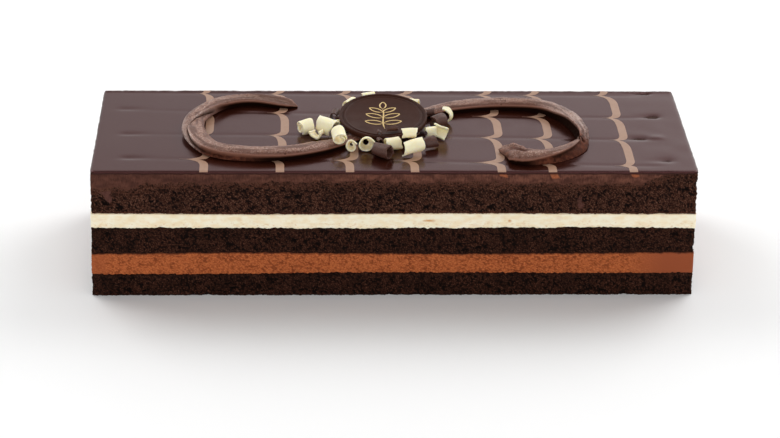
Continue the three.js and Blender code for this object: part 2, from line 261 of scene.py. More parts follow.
SCROLL_LEFT_STRIP = [
    (0, 0.7, 0.08, 0.76), (0.08, 0.7, 0.08, 0.76), (0.115, 0.6, 0.2, 0.88), (0.14, 0.58, 0.4, 0.98),
    (0.16, 0.75, 0.65, 1), (0.18, 0.9, 0.86, 1), (0.215, 1, 1, 1), (0.8, 1, 1, 1), (0.84, 1, 0.75, 1),
    (0.87, 1, 0.35, 1), (0.885, 0.95, 0.1, 1), (0.92, 0.9, 0.05, 1), (0.95, 0.85, 0.05, 0.95),
    (0.97, 0.75, 0.08, 0.8), (1, 0.7, 0.08, 0.76),
]
# Its cross-section: steps across a strip from the crest to the edge, how the edge is rounded, the wall below,
# out and up as shares of the edge, and how far out the underside ends
STRIP_STEPS = (
    0, 0.025, 0.05, 0.08, 0.12, 0.17, 0.23, 0.3, 0.37, 0.44, 0.51, 0.58, 0.65, 0.72, 0.79, 0.86, 0.92, 0.97,
    1,
)
STRIP_ROUNDING = 0.24
STRIP_ROUNDING_POWER = 6
SCROLL_WALL = [(1.0, 0.74), (0.94, 0.58), (0.84, 0.36), (0.76, 0.16), (0.7, 0.0)]
SCROLL_UNDERSIDE = 0.35
# The lip along the crest and the groove beside it: height, reach or depth, and half width
CREST_LIP = 0.3
CREST_LIP_HALF = 0.55
CREST_OVERHANG = 0.35
CREST_OVERHANG_HALF = 0.4
GROOVE_DEPTH = 0.6
GROOVE_HALF = 0.6
# How strongly and how wide shade is painted along the groove
GROOVE_SHADE = 0.85
GROOVE_SHADE_HALF = 0.65
# The widths of strip between which the groove grows, how far the higher strip stands over the lower one, the
# reaches of an edge that lies under the lip or that the nozzle turned out, and how far out the front side is
GROOVE_GROWS = (0.4, 1.2)
STRIP_DROP = 0.15
# An edge that lies under the lip is painted in shade
EDGE_UNDER = (0.97, 0.82)
EDGE_TURNED = (0.8, 0.97)
# The side towards the front is painted in shade, with less gloss
SCROLL_FRONT_SIDE = (-0.25, -0.95)
# Marks along the route, in shares of it, each from none to full, and back to none where it ends. Their sides
# and widths are in shares of the half width.
LEFT_BEND = (0.13, 0.17, 0.225, 0.265)
LEFT_TURN = (0.215, 0.26, 0.33, 0.37)
RIGHT_BEND = (0.77, 0.79, 0.862, 0.872)
RIGHT_TURN = (0.832, 0.862)
# Where light sparkle is painted on the rough top of the right bend
RIGHT_PAINTED_SPARKLE = (0.73, 0.8, 0.855, 0.875)
RIGHT_ROUGH = (0.8, 0.83, 0.87, 0.895)
END_ROUGH = (0.955, 0.975)
END_CRATER = (0.962, 0.97, 0.988, 0.996)
END_CRATER_SIDE = -0.35
END_CRATER_WIDTH = (0.6, 0.35)
END_CRATER_DEPTH = 1.0
START_DISH = (0.12, 0.05)
START_DISH_WIDTH = (0.85, 0.3)
START_DISH_DEPTH = 1.9
SLIT = 0.8745
SLIT_HALF = 0.0025
SLIT_SIDE = (0.7, 0.3)
SLIT_DEPTH = 1.2
# The heights over the glaze between which its relief begins, the depth of air holes in its top, and the
# combed lines along it, by their number along the route and across
RELIEF_FROM = (0.3, 1.5)
AIR_HOLE_DEPTH = 0.2
COMBED_LINES = (30, 7)

# The plaque, as its solid
PLAQUE_RADIUS = 21.0
PLAQUE_CENTRE = (-4.6, 2.3)
PLAQUE_FOOT = 4.3
PLAQUE_LEAN = 4.0
PLAQUE_SIDES = 160
PLAQUE_FLOOR = 2.25
PLAQUE_PROFILE = [
    (0.0, 0.0), (20.4, 0.0), (20.8, 0.15), (PLAQUE_RADIUS, 0.5), (PLAQUE_RADIUS, 2.2), (20.88, 2.58),
    (20.62, 2.78), (20.25, 2.8), (19.9, 2.68), (19.65, 2.36), (19.45, 2.08), (19.2, 1.98), (18.95, 2.06),
    (18.75, 2.28), (18.55, 2.5), (18.25, 2.56), (18.0, 2.48), (17.8, 2.32), (17.55, PLAQUE_FLOOR),
    (0.0, PLAQUE_FLOOR),
]
PLAQUE_MERGE = 0.01

# The gold sprig: its stem as a curve, the leaf at its tip, and for each pair of leaves, where it leaves the
# stem, its reach to the side and its rise. The bulge of a leaf is a share of its length. A stroke is highest
# in its middle, and narrower for a few steps at its ends.
SPRIG_STEM = ((0.6, -12.5), (-1.4, -6), (1.2, 0), (0, 6.5))
SPRIG_STEM_STEPS = 30
SPRIG_TIP = (0.4, 13)
SPRIG_TIP_BULGE = 0.3
SPRIG_LEAVES = [(-7.5, 8.6, 2.2), (-2.0, 8.0, 3.6), (3.2, 6.2, 4.2)]
SPRIG_LEAF_BULGE = 0.26
SPRIG_LEAF_STEPS = 18
SPRIG_STROKE = 0.62
SPRIG_HEIGHT = 0.14
SPRIG_EDGE = 0.02
SPRIG_TAPER_STEPS = 4
SPRIG_TAPER_LEAST = 0.4

# Rolled sheets: how thick they are, and at most as a share of the radius, the gap between turns, the bevel of
# their edges, and the cells of their grid along the axis and round it
SHAVING_THICKNESS = 0.75
SHAVING_THICKNESS_SHARE = 0.22
SHAVING_GAP = 0.5
SHAVING_BEVEL = 0.12
SHAVING_CELLS = 14
SHAVING_CELLS_A_TURN = 40
SHAVING_CELLS_LEAST = 24
# How much shorter a sheet is before its ends are notched, how far coarse and fine notches go and how many
# there are to a turn, how far lumps of a size bend it, and what a seed shifts the notches and the lumps by
SHAVING_TRIM = 0.6
SHAVING_NOTCH = 0.35
SHAVING_FINE_NOTCH = 0.15
SHAVING_NOTCHES_A_TURN = 9
SHAVING_NOTCH_SHIFT = 7.3
SHAVING_BENT = 0.35
SHAVING_BENT_SIZE = 3.5
SHAVING_BENT_SHIFT = 17


class Shaving(NamedTuple):
    """A rolled sheet. The heading of its axis, its roll and its rise are in degrees.

    foot is the height of its lowest point over the glaze, flare is how much narrower it is at its start, and
    corners draws the four corners of the sheet out along the axis.
    """

    at: tuple
    heading: float
    roll: float
    radius: float
    length: float
    turns: float
    up: float = 0
    foot: float = 0.3
    flare: float = 0.1
    corners: tuple = (0, 0, 0, 0)


# Shavings, as their solids
WHITE_SHAVINGS = [
    Shaving((-41.6, -3.2), 208, 40, 3.6, 6.8, 1.5, flare=-0.12),
    Shaving((-35.8, -8.6), -112, 262, 3.5, 4.6, 0.62, up=12, flare=0.3, corners=(0, 0.8, 0, 1.2)),
    Shaving((-31.8, -2.4), -28, 100, 5.1, 8.6, 0.53, up=-10, flare=0.15, corners=(2.2, 2.4, -0.6, 0)),
    Shaving((-26.2, -19.2), -78, 70, 3.9, 6.8, 1.3, up=-16, foot=2.95, corners=(0, 0, 0.8, 1.0)),
    Shaving((-19.9, -21.6), -96, 120, 3.4, 4.6, 1.15, up=10, flare=0.5, corners=(0, 0.9, 0, 0.5)),
    Shaving((-13.0, -20.8), -88, 95, 4.3, 5.4, 1.2, up=10, flare=0.45, corners=(0, 1.6, 0, 0)),
    Shaving((-0.8, -21.7), 198, 290, 3.6, 8, 1.2, flare=0.05, corners=(0.8, 0, -0.4, 0)),
    Shaving((6.8, -20.6), 8, 170, 2.8, 7.0, 0.6, foot=6, corners=(0.6, 0.8, 0, -0.8)),
    Shaving((8.3, -26.2), 22, 158, 3.6, 10.8, 0.5, up=7, flare=0.05, corners=(-1.2, 1.0, 1.0, -0.4)),
    Shaving((21.2, -11.2), -32, 8, 3.9, 6.0, 0.46, up=-10, flare=0.1, corners=(0, 1.0, 0.8, 1.2)),
    Shaving((25.0, 7.4), 70, 165, 4.5, 3.4, 0.58),
    Shaving((-19.8, 21.4), 50, 0, 3.2, 6.4, 1.2),
    Shaving((-10.6, 28.4), 10, 90, 3.6, 6.4, 1.1),
    Shaving((11.2, 24.4), -20, 45, 2.9, 5.4, 1.2),
]
DARK_SHAVINGS = [
    Shaving((-27.2, 12.4), 75, 30, 2.5, 5.6, 0.85, corners=(0.8, -0.8, 0, 1.2)),
    Shaving((-6.8, -17.6), -80, 200, 1.5, 3, 1.1, foot=6.1),
    Shaving((-5.8, -29.2), -32, 60, 4, 8.2, 1.25, flare=0.15, corners=(1.6, 0, 0.6, 0.8)),
    Shaving((-0.8, -13.4), 20, 215, 2.1, 5.6, 0.6, foot=6.0, flare=0.15, corners=(1.2, -0.8, 0, 1.4)),
    Shaving((17.4, -18.6), 20, 130, 3.4, 6.6, 0.55, flare=0.3, corners=(2.2, -1.4, 0.6, 0)),
    Shaving((21.8, 1.4), 40, 140, 3.9, 6.4, 1.3),
    Shaving((17.9, 9.4), 15, 150, 1.9, 4.4, 0.7, foot=3.2, corners=(0, 1.4, 0, -0.6)),
]
# Loose bits of the same shavings, by the shaving that they broke off, and the random seed of the first
FIRST_BIT_SEED = 31
BROKEN_BITS = [
    ("white_curl_03", Shaving((-26.9, -1.2), -50, 120, 2.2, 3.4, 0.4, up=20, foot=3.4,
                             corners=(0, 1.2, 0, 0))),
    ("white_curl_10", Shaving((17.8, -8.0), 15, 85, 3.2, 5.6, 0.72, flare=0.2, corners=(0, 0.6, 0, 0))),
    ("dark_curl_02", Shaving((-7.0, -21.6), -70, 60, 1.5, 3.2, 0.8, foot=4.4, corners=(0, 1.0, 0, 0))),
    ("dark_curl_01", Shaving((-25.6, 9.0), 20, 150, 1.6, 3.6, 0.5, corners=(1.2, 0, 0, 1.0))),
]

# The camera, from the picture: place, turn to the right, look down and roll in degrees, and focal length
CAMERA_PLACE = (-43.85, -977.47, 539.6)
CAMERA_YAW = 2.548
CAMERA_PITCH = 28.091
CAMERA_ROLL = 1.164
CAMERA_LENS = 105.198
CAMERA_SENSOR = 36.0

# The studio: softboxes by place, aim, width and height in metres and power, and the floor
SOFTBOXES = {
    "softbox_left": ((-0.9, 0.7, 1.1), (0, 0, 0.05), (0.9, 0.9), 9),
    "softbox_right": ((0.9, 0.7, 1.1), (0, 0, 0.05), (0.9, 0.9), 9),
    "softbox_front": ((-0.2, -1.6, 0.9), (0, 0, 0.03), (1.8, 0.9), 4.9),
}
WHITE = (1, 1, 1, 1)
FLOOR_SIZE = 8
FLOOR_WHITE = (0.96, 0.96, 0.96, 1)

# Whole numbers that scramble a place and a seed into a fixed random number
SCRAMBLE_PLACE = np.array((73856093, 19349663, 83492791))
SCRAMBLE_SEED = 2654435761
SCRAMBLE_STEPS = [(15, 0x2C1B3C6D), (12, 0x297A2D39)]
SCRAMBLE_BITS = 32


# Random relief

def lattice(cells, seed):
    """Fixed random numbers from 0 to 1 at whole-number places."""
    mask = 2**SCRAMBLE_BITS - 1
    n = (cells.astype(np.int64) @ SCRAMBLE_PLACE + seed * SCRAMBLE_SEED) & mask
    for shift, factor in SCRAMBLE_STEPS:
        n = ((n ^ (n >> shift)) * factor) & mask
    return (n ^ (n >> SCRAMBLE_STEPS[0][0])) / 2**SCRAMBLE_BITS


def lumps(points, size, seed):
    """Smooth random relief from -1 to 1, with lumps of that size."""
    place = points / size
    cell = np.floor(place)
    part = place - cell
    part = part * part * (3 - 2 * part)
    total = np.zeros(len(points))
    for corner in itertools.product((0, 1), repeat=3):
        weight = np.prod(np.where(corner, part, 1 - part), axis=1)
        total += weight * lattice(cell + corner, seed)
    return 2 * total - 1


def pits(points, size, share, seed, least=0.25, spread=0.35):
    """Round pits from 0 to 1 deep: one in that share of the cells of that size, with radii in cells."""
    place = points / size
    cell = np.floor(place)
    deepest = np.zeros(len(points))
    for step in itertools.product((-1, 0, 1), repeat=3):
        near = cell + step
        centre = near + np.stack([lattice(near, seed + k) for k in range(3)], axis=1)
        radius = least + spread * lattice(near, seed + 3)
        inside = 1 - np.sum((place - centre) ** 2, axis=1) / radius**2
        deepest = np.maximum(deepest, np.where(lattice(near, seed + 4) < share, inside, 0))
    return deepest


def fade(value, start, end):
    """From 0 at start to 1 at end, smoothly."""
    share = np.clip((value - start) / (end - start), 0, 1)
    return share * share * (3 - 2 * share)


def between(value, start, full, last, end):
    """1 from full to last, and smoothly down to 0 at start and end."""
    return fade(value, start, full) * fade(value, end, last)


def bell(distance, half):
    """1 in the middle, falling off like a bell to about a third at half its width."""
    return np.exp(-((distance / half) ** 2))


def under_top(z, span):
    """From 0 to 1 as a height falls from one depth under the top to another."""
    return fade(z, TOP - span[0], TOP - span[1])


def on_plan(x, y):
    """Places without a height."""
    return np.stack([x, y, np.zeros(len(x))], axis=1)


# Modelling helpers

def places(mesh):
    """A mesh's points, in millimetres."""
    flat = np.empty(len(mesh.vertices) * 3)
    mesh.vertices.foreach_get("co", flat)
    return flat.reshape(-1, 3) / MM


def set_places(mesh, points):
    mesh.vertices.foreach_set("co", (points * MM).ravel())
    mesh.update()


def normals(mesh):
    flat = np.empty(len(mesh.vertices) * 3)
    mesh.vertices.foreach_get("normal", flat)
    return flat.reshape(-1, 3)


def store(mesh, name, values):
    """Keeps a number for each point, for the finish to read."""
    mesh.attributes.new(name, "FLOAT", "POINT").data.foreach_set("value", values.astype(np.float32))


def deselect():
    """Leaves edit mode with nothing selected."""
    if bpy.context.mode != "OBJECT":
        bpy.ops.object.mode_set(mode="OBJECT")
    bpy.ops.object.select_all(action="DESELECT")


def only(piece):
    """Makes a piece the only one selected."""
    deselect()
    piece.select_set(True)
    bpy.context.view_layer.objects.active = piece


def start(name, add, **options):
    """Adds a primitive with nothing else selected."""
    deselect()
    add(**options)
    piece = bpy.context.object
    piece.name = name
    piece.data.name = name
    return piece


def stretch_to_bar(piece):
    """Gives a primitive one metre wide the length and depth of the bar."""
    piece.scale = (2 * HALF_LENGTH * MM, 2 * HALF_DEPTH * MM, 1)
    bpy.ops.object.transform_apply(location=True, rotation=True, scale=True)


def edit(piece, kind="VERT"):
    """Goes to edit mode on a piece, with none of its points, edges or faces selected."""
    only(piece)
    bpy.ops.object.mode_set(mode="EDIT")
    bpy.ops.mesh.select_mode(type=kind)
    bpy.ops.mesh.select_all(action="DESELECT")


def select(piece, kind, test):
    """Goes to edit mode with the edges or faces that pass a test selected."""
    edit(piece, kind)
    bpy.ops.object.mode_set(mode="OBJECT")
    mesh = piece.data
    if kind == "EDGE":
        ends = np.empty(len(mesh.edges) * 2, int)
        mesh.edges.foreach_get("vertices", ends)
        spot = places(mesh)[ends.reshape(-1, 2)]
        mesh.edges.foreach_set("select", test(spot[:, 0], spot[:, 1]))
    else:
        facing = np.empty(len(mesh.polygons) * 3)
        mesh.polygons.foreach_get("normal", facing)
        mesh.polygons.foreach_set("select", test(facing.reshape(-1, 3)))
    bpy.ops.object.mode_set(mode="EDIT")


def face_outwards():
    """Points all faces outwards and leaves edit mode."""
    bpy.ops.mesh.select_all(action="SELECT")
    bpy.ops.mesh.normals_make_consistent(inside=False)
    bpy.ops.object.mode_set(mode="OBJECT")


def close_edges(piece, drop=0):
    """Draws the open edges of a shell down by a lip, if there is one, turns them inwards and closes them."""
    edit(piece, "EDGE")
    bpy.ops.mesh.select_non_manifold()
    if drop:
        bpy.ops.mesh.extrude_edges_move(TRANSFORM_OT_translate={"value": (0, 0, -drop * MM)})
    bpy.ops.mesh.extrude_edges_move()
    bpy.ops.transform.resize(value=RIM_INWARDS)
    bpy.ops.mesh.fill_holes(sides=0)
    face_outwards()


def cut(piece, axis, shortest, cuts):
    """Cuts the edges along an axis that are longer than a length."""
    def runs_along(a, b):
        run = np.abs(b - a)
        return (run[:, axis] > shortest) & (run.argmax(axis=1) == axis)

    select(piece, "EDGE", runs_along)
    bpy.ops.mesh.subdivide(number_cuts=cuts)
    bpy.ops.object.mode_set(mode="OBJECT")


def mesh_piece(name, points, faces):
    """A piece from arrays, in millimetres."""
    mesh = bpy.data.meshes.new(name)
    mesh.from_pydata([tuple(p) for p in np.asarray(points) * MM], [], faces)
    mesh.validate()
    piece = bpy.data.objects.new(name, mesh)
    bpy.context.scene.collection.objects.link(piece)
    return piece


def apply_modifier(piece, kind, **settings):
    only(piece)
    modifier = piece.modifiers.new(kind.lower(), kind)
    for name, value in settings.items():
        setattr(modifier, name, value)
    bpy.ops.object.modifier_apply(modifier=modifier.name)


def finish_piece(piece, material, slot=None, nodes=()):
    """Smooth shading, a material, the root body as parent, and the solids that it stands for hidden."""
    only(piece)
    bpy.ops.object.shade_smooth()
    piece.data.materials.clear()
    piece.data.materials.append(material)
    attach(piece, "root")
    if nodes:
        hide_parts(*nodes)
    return piece


# Materials

def colour(red, green, blue):
    """Linear colour from the 0 to 255 numbers of a picture."""
    shares = [channel / 255 for channel in (red, green, blue)]
    return tuple(c / 12.92 if c <= 0.04045 else ((c + 0.055) / 1.055) ** 2.4 for c in shares) + (1.0,)


class Shade:
    """A node's output. Arithmetic on it adds Math nodes."""

    def __init__(self, nodes, socket):
        self.nodes = nodes
        self.socket = socket

    def __add__(self, other):
        return self.nodes.maths("ADD", self, other)

    def __sub__(self, other):
        return self.nodes.maths("SUBTRACT", self, other)

    def __rsub__(self, other):
        return self.nodes.maths("SUBTRACT", other, self)

    def __mul__(self, other):
        return self.nodes.maths("MULTIPLY", self, other)

    __radd__ = __add__
    __rmul__ = __mul__


class Nodes:
    """The node tree of a material or a world in the making."""

    def __init__(self, owner):
        owner.use_nodes = True
        self.tree = owner.node_tree

    def node(self, kind, settings=None, sockets=None, output=0):
        """Adds a node: its settings first, then the values or links of its sockets."""
        made = self.tree.nodes.new(kind)
        for name, value in (settings or {}).items():
            setattr(made, name, value)
        for name, value in (sockets or {}).items():
            self.feed(made.inputs[name], value)
        return Shade(self, made.outputs[output])

    def feed(self, socket, value):
        if isinstance(value, Shade):
            self.tree.links.new(value.socket, socket)
        else:
            socket.default_value = value

    def maths(self, operation, first, second):
        return self.node("ShaderNodeMath", {"operation": operation}, {0: first, 1: second})

    def ramp(self, value, low, high, bottom=0.0, top=1.0, kind="SMOOTHSTEP"):
        """Runs from bottom to top as a value goes from low to high."""
        return self.node("ShaderNodeMapRange", {"interpolation_type": kind}, {
            "Value": value, "From Min": low, "From Max": high, "To Min": bottom, "To Max": top})


class Finish(Nodes):
    """A procedural material in the making."""

    def __init__(self, name, **constants):
        self.material = bpy.data.materials.new(name)
        super().__init__(self.material)
        self.shader = self.tree.nodes["Principled BSDF"]
        self.set(**constants)

    def set(self, **sockets):
        """Feeds the shader's own sockets."""
        for name, value in sockets.items():
            self.feed(self.shader.inputs[name.replace("_", " ")], value)

    def place(self, stretch=(1, 1, 1)):
        """Where a point is on the object, stretched along its axes."""
        spot = self.node("ShaderNodeTexCoord", output="Object")
        return self.node("ShaderNodeMapping", {}, {"Vector": spot, "Scale": stretch})

    def number(self, name):
        """A number kept on the mesh."""
        return self.node("ShaderNodeAttribute", {"attribute_name": name}, output="Fac")

    def noise(self, size, stretch=(1, 1, 1), detail=2.0):
        """Noise from 0 to 1 with lumps of a size in millimetres."""
        return self.node("ShaderNodeTexNoise", {}, {
            "Vector": self.place(stretch), "Scale": 1 / (size * MM), "Detail": detail}, "Fac")

    def mix(self, share, first, second):
        """A colour between two others."""
        return self.node("ShaderNodeMix", {"data_type": "RGBA"}, {0: share, 6: first, 7: second}, 2)

    def dull(self, share, base):
        """Gives way to a shader without gloss, by a share."""
        glossy = Shade(self, self.shader.outputs[0])
        matt = self.node("ShaderNodeBsdfPrincipled", {}, {
            "Base Color": base, "Roughness": 0.9, "Specular IOR Level": 0.04})
        both = self.node("ShaderNodeMixShader", {}, {0: share, 1: glossy, 2: matt})
        self.feed(self.tree.nodes["Material Output"].inputs["Surface"], both)

    def bump(self, height, depth):
        """A normal from relief that is depth millimetres from 0 to 1."""
        return self.node("ShaderNodeBump", {}, {
            "Height": height, "Distance": depth * MM, "Strength": 1.0}, "Normal")


def crumb_colours(f, painted_glint, crumb, shade, crust, stained):
    """Cocoa crumb: painted highlights as light specks, painted shade between crumbs, and grains stained by a
    share.
    """
    # Painted highlights on the crumbs
    base = f.mix(f.ramp(f.noise(0.5, detail=3.0), 0.47, 0.72), crumb, painted_glint)
    base = f.mix(f.ramp(f.noise(8.0), 0.35, 0.75) * 0.4, base, shade)
    # Painted shade in the gaps between crumbs and in the bubble holes
    base = f.mix(f.ramp(f.number("hollow"), 0.05, 0.9), base, shade)
    return f.mix(stained * f.ramp(f.noise(0.8, detail=3.0), 0.62, 0.4) * 0.8, base, crust)


def sponge_finish(name, painted_glint, crumb, shade, crust):
    """Dark cocoa sponge, stained along its edges."""
    f = Finish(name, Specular_IOR_Level=0.08)
    damp = f.ramp(f.number("above") + f.noise(3.0, detail=3.0) * 5.0, 5.4, 2.0)
    base = crumb_colours(f, painted_glint, crumb, shade, crust, damp)
    edge = f.ramp(f.number("below") + f.noise(1.8) * 1.8, 2.1, 0.9)
    base = f.mix(edge * 0.75, base, crust)
    smear = f.ramp(f.number("smear") + f.noise(1.2, detail=3.0) * 0.8, 0.55, 1.0)
    dragged = f.mix(f.noise(1.1, (1, 1, 0.5)), colour(58, 31, 25), colour(104, 66, 58))
    base = f.mix(smear * 0.85, base, dragged)
    f.set(Base_Color=base, Roughness=f.ramp(smear, 0, 1, 0.9, 0.5))
    f.set(Normal=f.bump(f.noise(0.4), 0.2))
    return f.material


def milk_mousse_finish():
    f = Finish("milk_mousse", Specular_IOR_Level=0.1, Subsurface_Weight=0.1, Subsurface_Scale=0.0006,
               Subsurface_Radius=(1.0, 0.45, 0.25))
    grain = f.noise(0.5, (0.6, 0.6, 1.2), 3.0)
    base = f.mix(f.ramp(grain, 0.36, 0.68), colour(160, 82, 43), colour(196, 111, 63))
    base = f.mix(f.number("smooth"), base, colour(146, 75, 45))
    # Painted shade in the gaps between grains
    base = f.mix(f.ramp(f.number("hollow"), 0.0, 1.0), base, colour(122, 58, 30))
    stain = f.ramp(f.number("above") + f.noise(1.4) * 1.5, 1.7, 0.7)
    base = f.mix(stain * 0.75, base, colour(72, 36, 24))
    f.set(Base_Color=base, Roughness=0.7)
    f.set(Normal=f.bump(f.noise(0.35), 0.14))
    return f.material


def white_mousse_finish():
    f = Finish("white_mousse", Specular_IOR_Level=0.15, Subsurface_Weight=0.15, Subsurface_Scale=0.001,
               Subsurface_Radius=(1.0, 0.8, 0.55))
    cloud = f.noise(5.0, (1, 1, 2))
    base = f.mix(f.ramp(cloud, 0.35, 0.7), colour(250, 241, 217), colour(245, 228, 193))
    speck = f.ramp(f.noise(0.9, (0.7, 0.7, 1.2)), 0.56, 0.72) * f.ramp(f.number("below"), 6.0, 1.0)
    base = f.mix(speck * 0.55, base, colour(222, 184, 130))
    # Painted shade in the pits and dents
    base = f.mix(f.number("hollow"), base, colour(206, 150, 84))
    stain = f.ramp(f.number("above"), 0.5, 0.05)
    base = f.mix(stain * 0.5, base, colour(206, 168, 128))
    f.set(Base_Color=base, Roughness=0.6)
    f.set(Normal=f.bump(f.noise(0.5), 0.1))
    return f.material


def cut_ganache_finish(painted_glint, crumb, shade, crust):
    """The cut side of the ganache, dragged by the knife, that runs into the sponge below."""
    f = Finish("cut_ganache", Specular_IOR_Level=0.12)
    streak = f.noise(0.7, (1, 1, 0.3), 3.0)
    blotch = f.noise(5.0, (1, 1, 1.6), 3.0)
    base = f.mix(f.ramp(streak * 0.4 + blotch * 0.6, 0.36, 0.66), colour(66, 35, 26), colour(108, 66, 52))
    base = f.mix(f.number("left") * 0.5, base, colour(58, 30, 22))
    sponge = f.number("sponge")
    base = f.mix(f.ramp(sponge, 0.0, 0.5) * 0.5, base, crust)
    grains = f.ramp(sponge + (f.noise(0.7, detail=3.0) - 0.5) * 1.2, 0.35, 0.75)
    base = f.mix(grains, base, crumb_colours(f, painted_glint, crumb, shade, crust, 1.2 - sponge * 0.4))
    base = f.mix(f.number("drip"), base, f.mix(f.noise(1.0), colour(116, 56, 32), colour(170, 102, 68)))
    # Painted shadow just under the lip of the glaze
    base = f.mix(f.ramp(f.number("above"), 1.4, 0.6) * 0.7, base, colour(40, 21, 16))
    f.set(Base_Color=base, Roughness=f.ramp(sponge, 0, 1, 0.6, 0.9))
    f.set(Normal=f.bump(streak, 0.14))
    return f.material


def glaze_finish():
    f = Finish("ganache_glaze", Specular_IOR_Level=0.68, Specular_Tint=(1.0, 0.46, 0.5, 1.0))
    cloud = f.noise(14.0, (0.5, 1, 1))
    f.set(Base_Color=f.mix(cloud, colour(43, 17, 9), colour(47, 19, 11)))
    f.set(Roughness=f.ramp(f.noise(9.0), 0.3, 0.7, 0.18, 0.25))
    f.set(Normal=f.bump(f.noise(2.2), 0.012))
    f.dull(f.number("rim") * 0.85, colour(44, 23, 17))
    return f.material


def icing_finish():
    f = Finish("feather_icing", Specular_IOR_Level=0.42)
    base = f.mix(f.noise(2.5), colour(152, 116, 95), colour(166, 132, 110))
    base = f.mix(f.number("thin"), base, colour(72, 42, 36))
    f.set(Base_Color=base, Roughness=0.3)
    return f.material


def piped_finish():
    f = Finish("piped_ganache", Specular_IOR_Level=0.55, Specular_Tint=(1.0, 0.88, 0.82, 1.0))
    grain = f.noise(0.5, detail=3.0)
    hollow, turned, painted_sparkle = f.number("hollow"), f.number("turned"), f.number("painted_sparkle")
    # The side towards the front is painted darker than the top, as shade
    front = f.ramp(f.number("front") + f.noise(2.0) * 0.4, 0.25, 1.0)
    base = f.mix(f.ramp(f.noise(2.4, detail=3.0), 0.3, 0.7), colour(109, 66, 49), colour(134, 90, 72))
    base = f.mix(front, base, f.mix(f.noise(1.6), colour(76, 39, 27), colour(96, 54, 39)))
    # The strip that the nozzle turned outwards, and the crater at the end, are painted darker and duller, as
    # shade
    outside = f.mix(f.ramp(f.noise(1.6), 0.35, 0.65), colour(62, 28, 18), colour(106, 58, 41))
    base = f.mix(turned, base, outside)
    # Painted shade in the low spots of the bumped grain
    base = f.mix(f.ramp(grain, 0.4, 0.3) * 0.7, base, colour(46, 22, 15))
    # Painted sparkle of light on the upward-facing tops of both bends
    base = f.mix(painted_sparkle * f.ramp(f.noise(0.35, detail=3.0), 0.42, 0.66) * 0.85, base, colour(200, 180, 172))
    streak = f.ramp(f.number("streak") + f.noise(0.9) * 0.4, 0.62, 0.95)
    base = f.mix(streak * 0.6, base, colour(70, 34, 22))
    # Painted highlights on the top, where it faces up
    painted_glint = f.ramp(f.noise(0.5, detail=4.0), 0.46, 0.66) * f.number("top") * (1 - streak)
    base = f.mix(painted_glint * 0.62, base, colour(204, 178, 164))
    # Painted highlight along the lip of the crest
    base = f.mix(f.number("lip") * 0.45, base, colour(156, 104, 83))
    # Painted highlight on the outer rim of the left bend and along its lip
    rim = f.number("rim") * f.ramp(f.noise(0.6, detail=3.0), 0.42, 0.62)
    base = f.mix(rim * 0.75, base, colour(216, 198, 189))
    # Painted shade under the lips, along the grooves, and in the air holes, dish, crater and slit
    base = f.mix(hollow, base, colour(26, 10, 4))
    f.set(Base_Color=base, Roughness=f.ramp(f.noise(3.0), 0.3, 0.7, 0.34, 0.44))
    f.set(Normal=f.bump(grain, 0.4))
    # Less gloss where shade is painted, on the turned strip, and on the front side
    f.dull(1 - (1 - hollow) * (1 - turned * 0.75) * (1 - front * 0.5), base)
    return f.material


def plaque_finish():
    f = Finish("dark_chocolate", Specular_IOR_Level=0.1)
    base = f.mix(f.noise(7.0), colour(50, 25, 17), colour(63, 34, 24))
    f.set(Base_Color=base, Roughness=f.ramp(f.noise(4.0), 0.3, 0.7, 0.42, 0.52))
    f.set(Normal=f.bump(f.noise(0.7), 0.03))
    return f.material


def gold_finish():
    f = Finish("gold_icing", Specular_IOR_Level=0.5)
    base = f.mix(f.noise(1.2), colour(196, 160, 92), colour(228, 200, 140))
    f.set(Base_Color=base, Roughness=f.ramp(f.noise(0.6), 0.3, 0.7, 0.35, 0.55))
    return f.material


def white_chocolate_finish():
    f = Finish("white_chocolate", Specular_IOR_Level=0.22, Subsurface_Weight=0.55, Subsurface_Scale=0.0016,
               Subsurface_Radius=(1.0, 0.85, 0.45))
    scrape = f.noise(1.0)
    base = f.mix(scrape, colour(255, 244, 216), colour(253, 233, 188))
    f.set(Base_Color=base, Roughness=0.45)
    f.set(Normal=f.bump(f.noise(0.6), 0.04))
    return f.material


def dark_shaving_finish():
    """Dark chocolate with the fine scratches of the scraper."""
    f = Finish("dark_chocolate_curl", Specular_IOR_Level=0.4)
    scrape = f.noise(0.45, (1, 0.3, 1), 3.0)
    base = f.mix(f.ramp(scrape, 0.3, 0.72), colour(62, 35, 27), colour(94, 60, 49))
    f.set(Base_Color=base, Roughness=f.ramp(scrape, 0.3, 0.7, 0.38, 0.55))
    f.set(Normal=f.bump(scrape, 0.1))
    return f.material


# The layers

def seam_height(index, x, y):
    """Height of the uneven cut between two layers."""
    seam = SEAMS[index]
    phase = WAVE_SHIFT * index
    lengthwise = np.sin(x / WAVE_ALONG + phase)
    across = np.sin(y / WAVE_ACROSS + x / WAVE_SKEW + 2 * phase)
    height = seam["height"] + seam["wave"] * (across + (lengthwise - across) * WAVE_SHARE_ALONG)
    flat = on_plan(x, y)
    height += seam["coarse"] * lumps(flat, SEAM_COARSE, 70 + index)
    finest = SEAM_FINEST_SHARE * lumps(flat, SEAM_FINEST, 90 + index)
    height += seam["fine"] * (lumps(flat, SEAM_FINE, 80 + index) + finest)
    if index == 0:
        return np.maximum(height, 0)
    if index == len(SEAMS) - 1:
        front = fade(y, *TOP_SEAM_FRONT)
        height -= TOP_SEAM_DIP * front * fade(x, *TOP_SEAM_DIP_SPAN)
        height += (TOP - TOP_SEAM_UNDER_GLAZE - height) * front * fade(x, *TOP_SEAM_RISE_SPAN)
    return height


